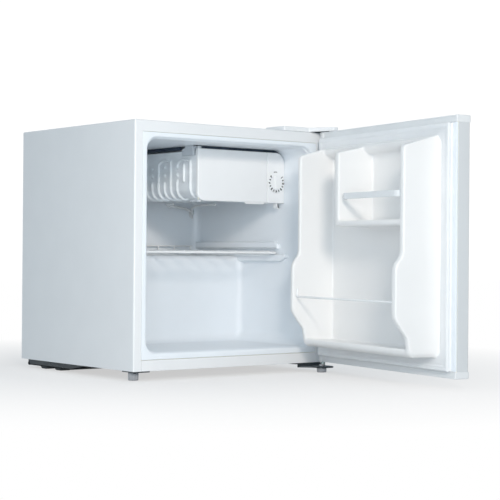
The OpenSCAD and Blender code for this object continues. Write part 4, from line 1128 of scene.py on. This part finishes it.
def make_cap(end):
    """End cap: it stands a little proud of the skin, with rounded edges and a hinge boss."""
    top = end == "top"
    za, zb = (DOOR_Z1 - CAP_H, DOOR_Z1) if top else (DOOR_Z0, DOOR_Z0 + CAP_H)
    u0, u1, e = -0.2, DOOR_W + 0.2, 1.8
    corners = [door_point(u, d, 0)[:2] for u, d in ((u1, -DOOR_T), (u0, -DOOR_T), (u0, 0),
                                                    (u1, 0))]
    if top:
        levels = [(za, 0.5), (za + 0.35, 0.15), (za + 0.8, 0), (zb - e, 0), (zb - e * 0.5, 0.24),
                  (zb - e * 0.13, 0.9), (zb, e)]
    else:
        levels = [(za, e), (za + e * 0.13, 0.9), (za + e * 0.5, 0.24), (za + e, 0),
                  (zb - 0.8, 0), (zb - 0.35, 0.15), (zb, 0.5)]
    shape = Shape().loft(round_end(corners, [5, 5, 1.6, 1.6], levels, lambda p, z: (*p, z), 6))
    lip = (DOOR_Z1 - 3, DOOR_Z1 - 0.3) if top else (DOOR_Z0 + 0.3, DOOR_Z0 + 7)
    door_box(shape, 1, DOOR_W - 1, -1.0, 0.8, *lip, 0.5, 2)
    shape.lathe([(3.4, za), (7.0, za), (7.5, za + 0.5), (7.5, zb - 0.5), (7.0, zb), (3.4, zb)],
                (*PIVOT, 0), "z", 40)
    shape.build(end + "_cap", "cap_white", "door_" + end + "_cap", body="door")


def make_cap_hole():
    x, y, z = door_point(13, 0.3, DOOR_Z1 - 5.2)
    Shape().lathe([(0.1, y), (1.1, y), (1.1, DOOR_Y + 0.95), (0.1, DOOR_Y + 0.95)],
                  (x, 0, z), "y", 16).build("cap_hole_plug", "black_plastic", body="door")


def make_gasket():
    """Magnetic seal: a bellows bulb at the outside and a soft skirt towards the liner."""
    section = [(0.0, 0.3), (0.0, 2.0), (0.9, 2.8), (1.2, 4.0), (0.4, 5.4), (0.0, 7.4),
               (0.5, 9.3), (1.9, 10.3), (5.6, 10.4), (7.8, 10.0), (9.4, 9.0), (11.0, 8.2),
               (14.0, 7.4), (18.0, 6.6), (22.0, 5.8), (26.0, 4.9), (29.0, 3.6), (31.0, 1.8),
               (31.6, 0.3)]
    # one more point halfway along each stretch but the first and the last
    finer = section[:1]
    for p, q in zip(section[1:], section[2:]):
        finer += [p, ((p[0] + q[0]) / 2, (p[1] + q[1]) / 2)]
    finer = finer[:-1] + section[-1:]
    magnet = [(2.2, 5.6), (7.0, 5.6), (7.0, 8.8), (2.2, 8.8)]
    u0, u1, z0, z1 = 11.6, 460.4, 33.2, 482.3
    corners = [(u0, z0, 1, 1), (u1, z0, -1, 1), (u1, z1, -1, -1), (u0, z1, 1, -1)]
    for outline, name, slot, node, more in (
            (finer, "door_seal", "gasket_white", "door_gasket", {"angle": 25}),
            (magnet, "seal_magnets", "magnet_brown", "gasket_magnets", {"bevel": 0.3})):
        rings = [[door_point(u + su * p, h, z + sz * p) for p, h in outline]
                 for u, z, su, sz in corners]
        Shape().loft(rings, closed=True).build(name, slot, node, body="door", **more)


# the racks: stretches along u of the hinge side's wall, the free side's and the box's
DYKE_U, FREE_U, BOX_U = (48, 59), (411, 425), (189, 204)
RACK_Z0 = 56
RACK_CORNERS = [1, 1, 4, 6, 8, 12, 14, 16, 16, 10, 14, 10, 10, 2, 1]


def rack_outline(low):
    """Side wall of the racks as depth and height, its corners rounded; low is its underside."""
    points = [(-9, 50), (0, 50), (10, low), (57, low), (66, low + 8), (71, 92), (84, 108),
              (98, 128), (98, 219), (94, 228), (84, 240), (82, 250), (82, 440.5), (0, 464),
              (-9, 464)]
    return smooth_corners(points, RACK_CORNERS, 5)


def make_door_liner():
    """The moulded racks: simple closed solids, fused and softened into one thermoformed skin."""
    shape = Shape()
    inner_u = FREE_U[1] - 6
    floor = RACK_Z0
    for outline, u0, u1 in (
            (rack_outline(RACK_Z0), *DYKE_U),
            (rack_outline(RACK_Z0), FREE_U[0], inner_u),
            (rack_outline(RACK_Z0 + 2.5), FREE_U[0], FREE_U[1] - 2.5),
            (rack_outline(RACK_Z0 + 7), *FREE_U),
            # sloping roof over the racks, then the bottle floor with its low lip
            ([(-9, 438), (14, 441), (24, 446), (27, 455), (0, 463.5), (-9, 463.5)],
             DYKE_U[0], inner_u),
            ([(-9, 50), (0, 50), (10, floor), (57, floor), (64, floor + 5), (66, 66), (65, 72),
              (61, 72.5), (58, 70), (-9, 69)], DYKE_U[0], inner_u),
            # wall and floor of the upper box
            ([(-9, 296), (78, 296), (82, 300), (82, 440), (-9, 460)], *BOX_U),
            ([(-9, 296), (78, 296), (82, 300), (82, 306), (79, 308), (74, 306.5),
              (-9, 306.5)], BOX_U[0], inner_u)):
        shape.prism([(DOOR_Y + d, z) for d, z in outline], "x", EDGE_X - u1, EDGE_X - u0)
    # flat sheet behind everything, with the border that the seal sits on
    door_box(shape, 11, 461, -9, 0.0, 33, 483, 0.2, 1)
    door_box(shape, DYKE_U[0] - 0.5, FREE_U[1] + 0.5, -9, 2.4, 49.5, 464.5, 0.2, 1)
    temp = new_object("racks", shape.mesh("racks"))
    voxel, smoothing = ((1.7, 22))
    modify(temp, "REMESH", mode="VOXEL", voxel_size=voxel * MM, use_smooth_shade=True)
    modify(temp, "SMOOTH", factor=0.5, iterations=smoothing)
    modify(temp, "DECIMATE", decimate_type="COLLAPSE", ratio=0.3)
    bake_modifiers(temp)
    mesh = temp.data
    bpy.data.objects.remove(temp)
    # the warmer copy of the liner plastic paints the light on the door's lit faces
    finish_piece(mesh, "door_racks", "white_liner", "door_liner", look="door_liner_lit_white",
                 body="door", angle=60, recalc=False)


def make_bar():
    """Flat bar across the upper box; its ends turn back to the side walls."""
    back, front = 80 - 17, 80 - 1.2
    u0, u1 = BOX_U[1], FREE_U[0]
    path = bend_path([(u0 + 0.4, back, 0), (u0 + 12, front, 0), (u1 - 12, front, 0),
                      (u1 - 0.4, back, 0)], 9)
    section = rounded_rect(-1.2, 1.2, 349, 361, 1.0, 4)
    rings = []
    for i, p in enumerate(path):
        t = (path[min(i + 1, len(path) - 1)] - path[max(i - 1, 0)]).normalized()
        rings.append([door_point(p.x - t.y * s, p.y + t.x * s, z) for s, z in section])
    Shape().loft(rings).build("rack_bar", "clear_white_bar", "upper_shelf_bar", body="door")


def make_wire():
    u0, u1, d = DYKE_U[1] + 2.2, FREE_U[0] - 2.2, 90
    path = bend_path([door_point(*p) for p in (
        (u0, d - 2, 172), (u0 + 0.6, d, 157), (u1 - 0.6, d, 157), (u1, d - 2, 172))], 8, 7)
    Shape().tube(path, 2, 14).build("rack_wire", "white_wire", "lower_shelf_rod", body="door")


def make_cap_screws():
    shape = Shape()
    for x in (-190, 0, 180):
        for z, s in ((DOOR_Z1, 1), (DOOR_Z0, -1)):
            profile = ((0.3, -0.2), (3.2, -0.2), (3.2, 0.5), (2.6, 0.95), (1.3, 1.0),
                       (1.0, 0.5), (0.3, 0.5))
            shape.lathe([(r, z + h * s) for r, h in profile], (x, DOOR_Y - 14, 0), "z", 24)
    shape.build("cap_screws", "zinc_steel", "door_cap_screws", body="door")


# ---------- build ----------

for make in (make_wrap, make_front_rail, make_liner, make_wall_ribs, make_evaporator,
             make_hangers, make_gap_shade_strip, make_tubes, make_grommet, make_flap,
             make_flap_pins, make_housing, make_knob_shadow_arc, make_knob, make_numbers, make_shelf,
             make_top_cover, make_bracket_bottom, make_bottom_pin, make_left_bracket):
    make()
make_foot("left", 2.8)
make_foot("right", 9.4)
for make in (make_base, make_rear_feet, make_compressor, make_bolts, make_relay, make_pipes,
             make_rear_panel, make_screws, make_door_skin, make_flange):
    make()
make_cap("top")
make_cap("bottom")
for make in (make_cap_hole, make_gasket, make_door_liner, make_bar, make_wire,
             make_cap_screws):
    make()

# CAD nodes that stay get the same materials
SLOT_OF = {s["node"]: s["material_slot"] for s in frame["record"]["subparts"]}
for node, made in frame["nodes"].items():
    made.data.materials.clear()
    made.data.materials.append(MATERIALS[SLOT_OF[node]])


# ---------- camera, light, floor ----------

def aim_object(made, place, forward, roll=0.0):
    made.location = place
    made.rotation_mode = "QUATERNION"
    made.rotation_quaternion = (forward.to_track_quat("-Z", "Y")
                                @ Quaternion((0, 0, 1), roll))


def make_camera():
    data = bpy.data.cameras.new("camera")
    data.sensor_width, data.lens = 36, 103.5
    data.clip_start, data.clip_end = 0.1, 60
    yaw, pitch = radians(38.53), radians(0.12)
    forward = Vector((sin(yaw) * cos(pitch), cos(yaw) * cos(pitch), sin(pitch)))
    SCENE.camera = new_object("camera", data)
    aim_object(SCENE.camera, (-1.7538, -2.4676, 0.2442), forward, radians(0.44))


def area_light(name, place, aim, size, power, colour=(1, 1, 1)):
    data = bpy.data.lights.new(name, "AREA")
    data.shape, data.size, data.size_y = "RECTANGLE", size, size
    data.energy, data.color = power, colour
    made = new_object(name, data)
    made.visible_camera = False
    aim_object(made, place, Vector(aim) - Vector(place))


def make_floor():
    """Pale paper that fades to plain white away from the object, for the camera only."""
    cells, half = 24, 9000
    places = [-half + 2 * half * i / cells for i in range(cells + 1)]
    rings = [[(x, y, -0.3) for x in places] for y in places]
    mesh = Shape().loft(rings, caps=(False, False), ring_closed=False).mesh("floor")
    paper = surface("floor_white", (0.72, 0.72, 0.72), 0.6, mottle=0.005, grain=0.01,
                    grain_scale=60)
    tree = paper.node_tree
    place = add_node(tree, "ShaderNodeTexCoord").outputs["Object"]
    length = add_node(tree, "ShaderNodeVectorMath", {0: place}, operation="LENGTH")
    fade = add_node(tree, "ShaderNodeMapRange", {
        "From Min": 0.35, "From Max": 1.1, "To Min": 0.55, "Value": length.outputs["Value"]})
    seen = add_node(tree, "ShaderNodeMath", {
        0: fade.outputs["Result"],
        1: add_node(tree, "ShaderNodeLightPath").outputs["Is Camera Ray"]},
        operation="MULTIPLY")
    white = add_node(tree, "ShaderNodeEmission", {"Strength": 1.0})
    mix = add_node(tree, "ShaderNodeMixShader", {
        "Fac": seen.outputs["Value"], 1: tree.nodes["Principled BSDF"].outputs["BSDF"],
        2: white.outputs["Emission"]})
    connect(tree, tree.nodes["Material Output"], {"Surface": mix.outputs["Shader"]})
    mesh.materials.append(paper)
    new_object("floor", mesh)


def make_world():
    """Pale blue light all round, which the camera sees as white."""
    world = SCENE.world = bpy.data.worlds.new("studio")
    world.use_nodes = True
    tree = world.node_tree
    light = connect(tree, tree.nodes["Background"], {
        "Color": (0.66, 0.85, 1.0, 1), "Strength": 0.43})
    seen = add_node(tree, "ShaderNodeBackground", {"Color": (1, 1, 1, 1), "Strength": 1.05})
    mix = add_node(tree, "ShaderNodeMixShader", {
        "Fac": add_node(tree, "ShaderNodeLightPath").outputs["Is Camera Ray"],
        1: light.outputs["Background"], 2: seen.outputs["Background"]})
    connect(tree, tree.nodes["World Output"], {"Surface": mix.outputs["Shader"]})


make_camera()
make_floor()
make_world()
area_light("key", (-1.56, -3.08, 1.42), (0.0, -0.1, 0.25), 0.5, 47, (1.0, 0.91, 0.83))
area_light("low_fill", (-0.95, -1.5, 0.3), (0.0, 0.0, 0.35), 0.6, 4.6, (0.74, 0.88, 1.0))
area_light("left_fill", (-0.95, -0.8, 0.4), (-0.2, -0.1, 0.25), 0.5, 1.9, (1.0, 0.99, 0.98))
area_light("top", (0.0, 0.2, 2.6), (0, 0, 0.3), 2.4, 12)
SCENE.view_settings.view_transform = "Standard"
SCENE.view_settings.gamma = 1.1
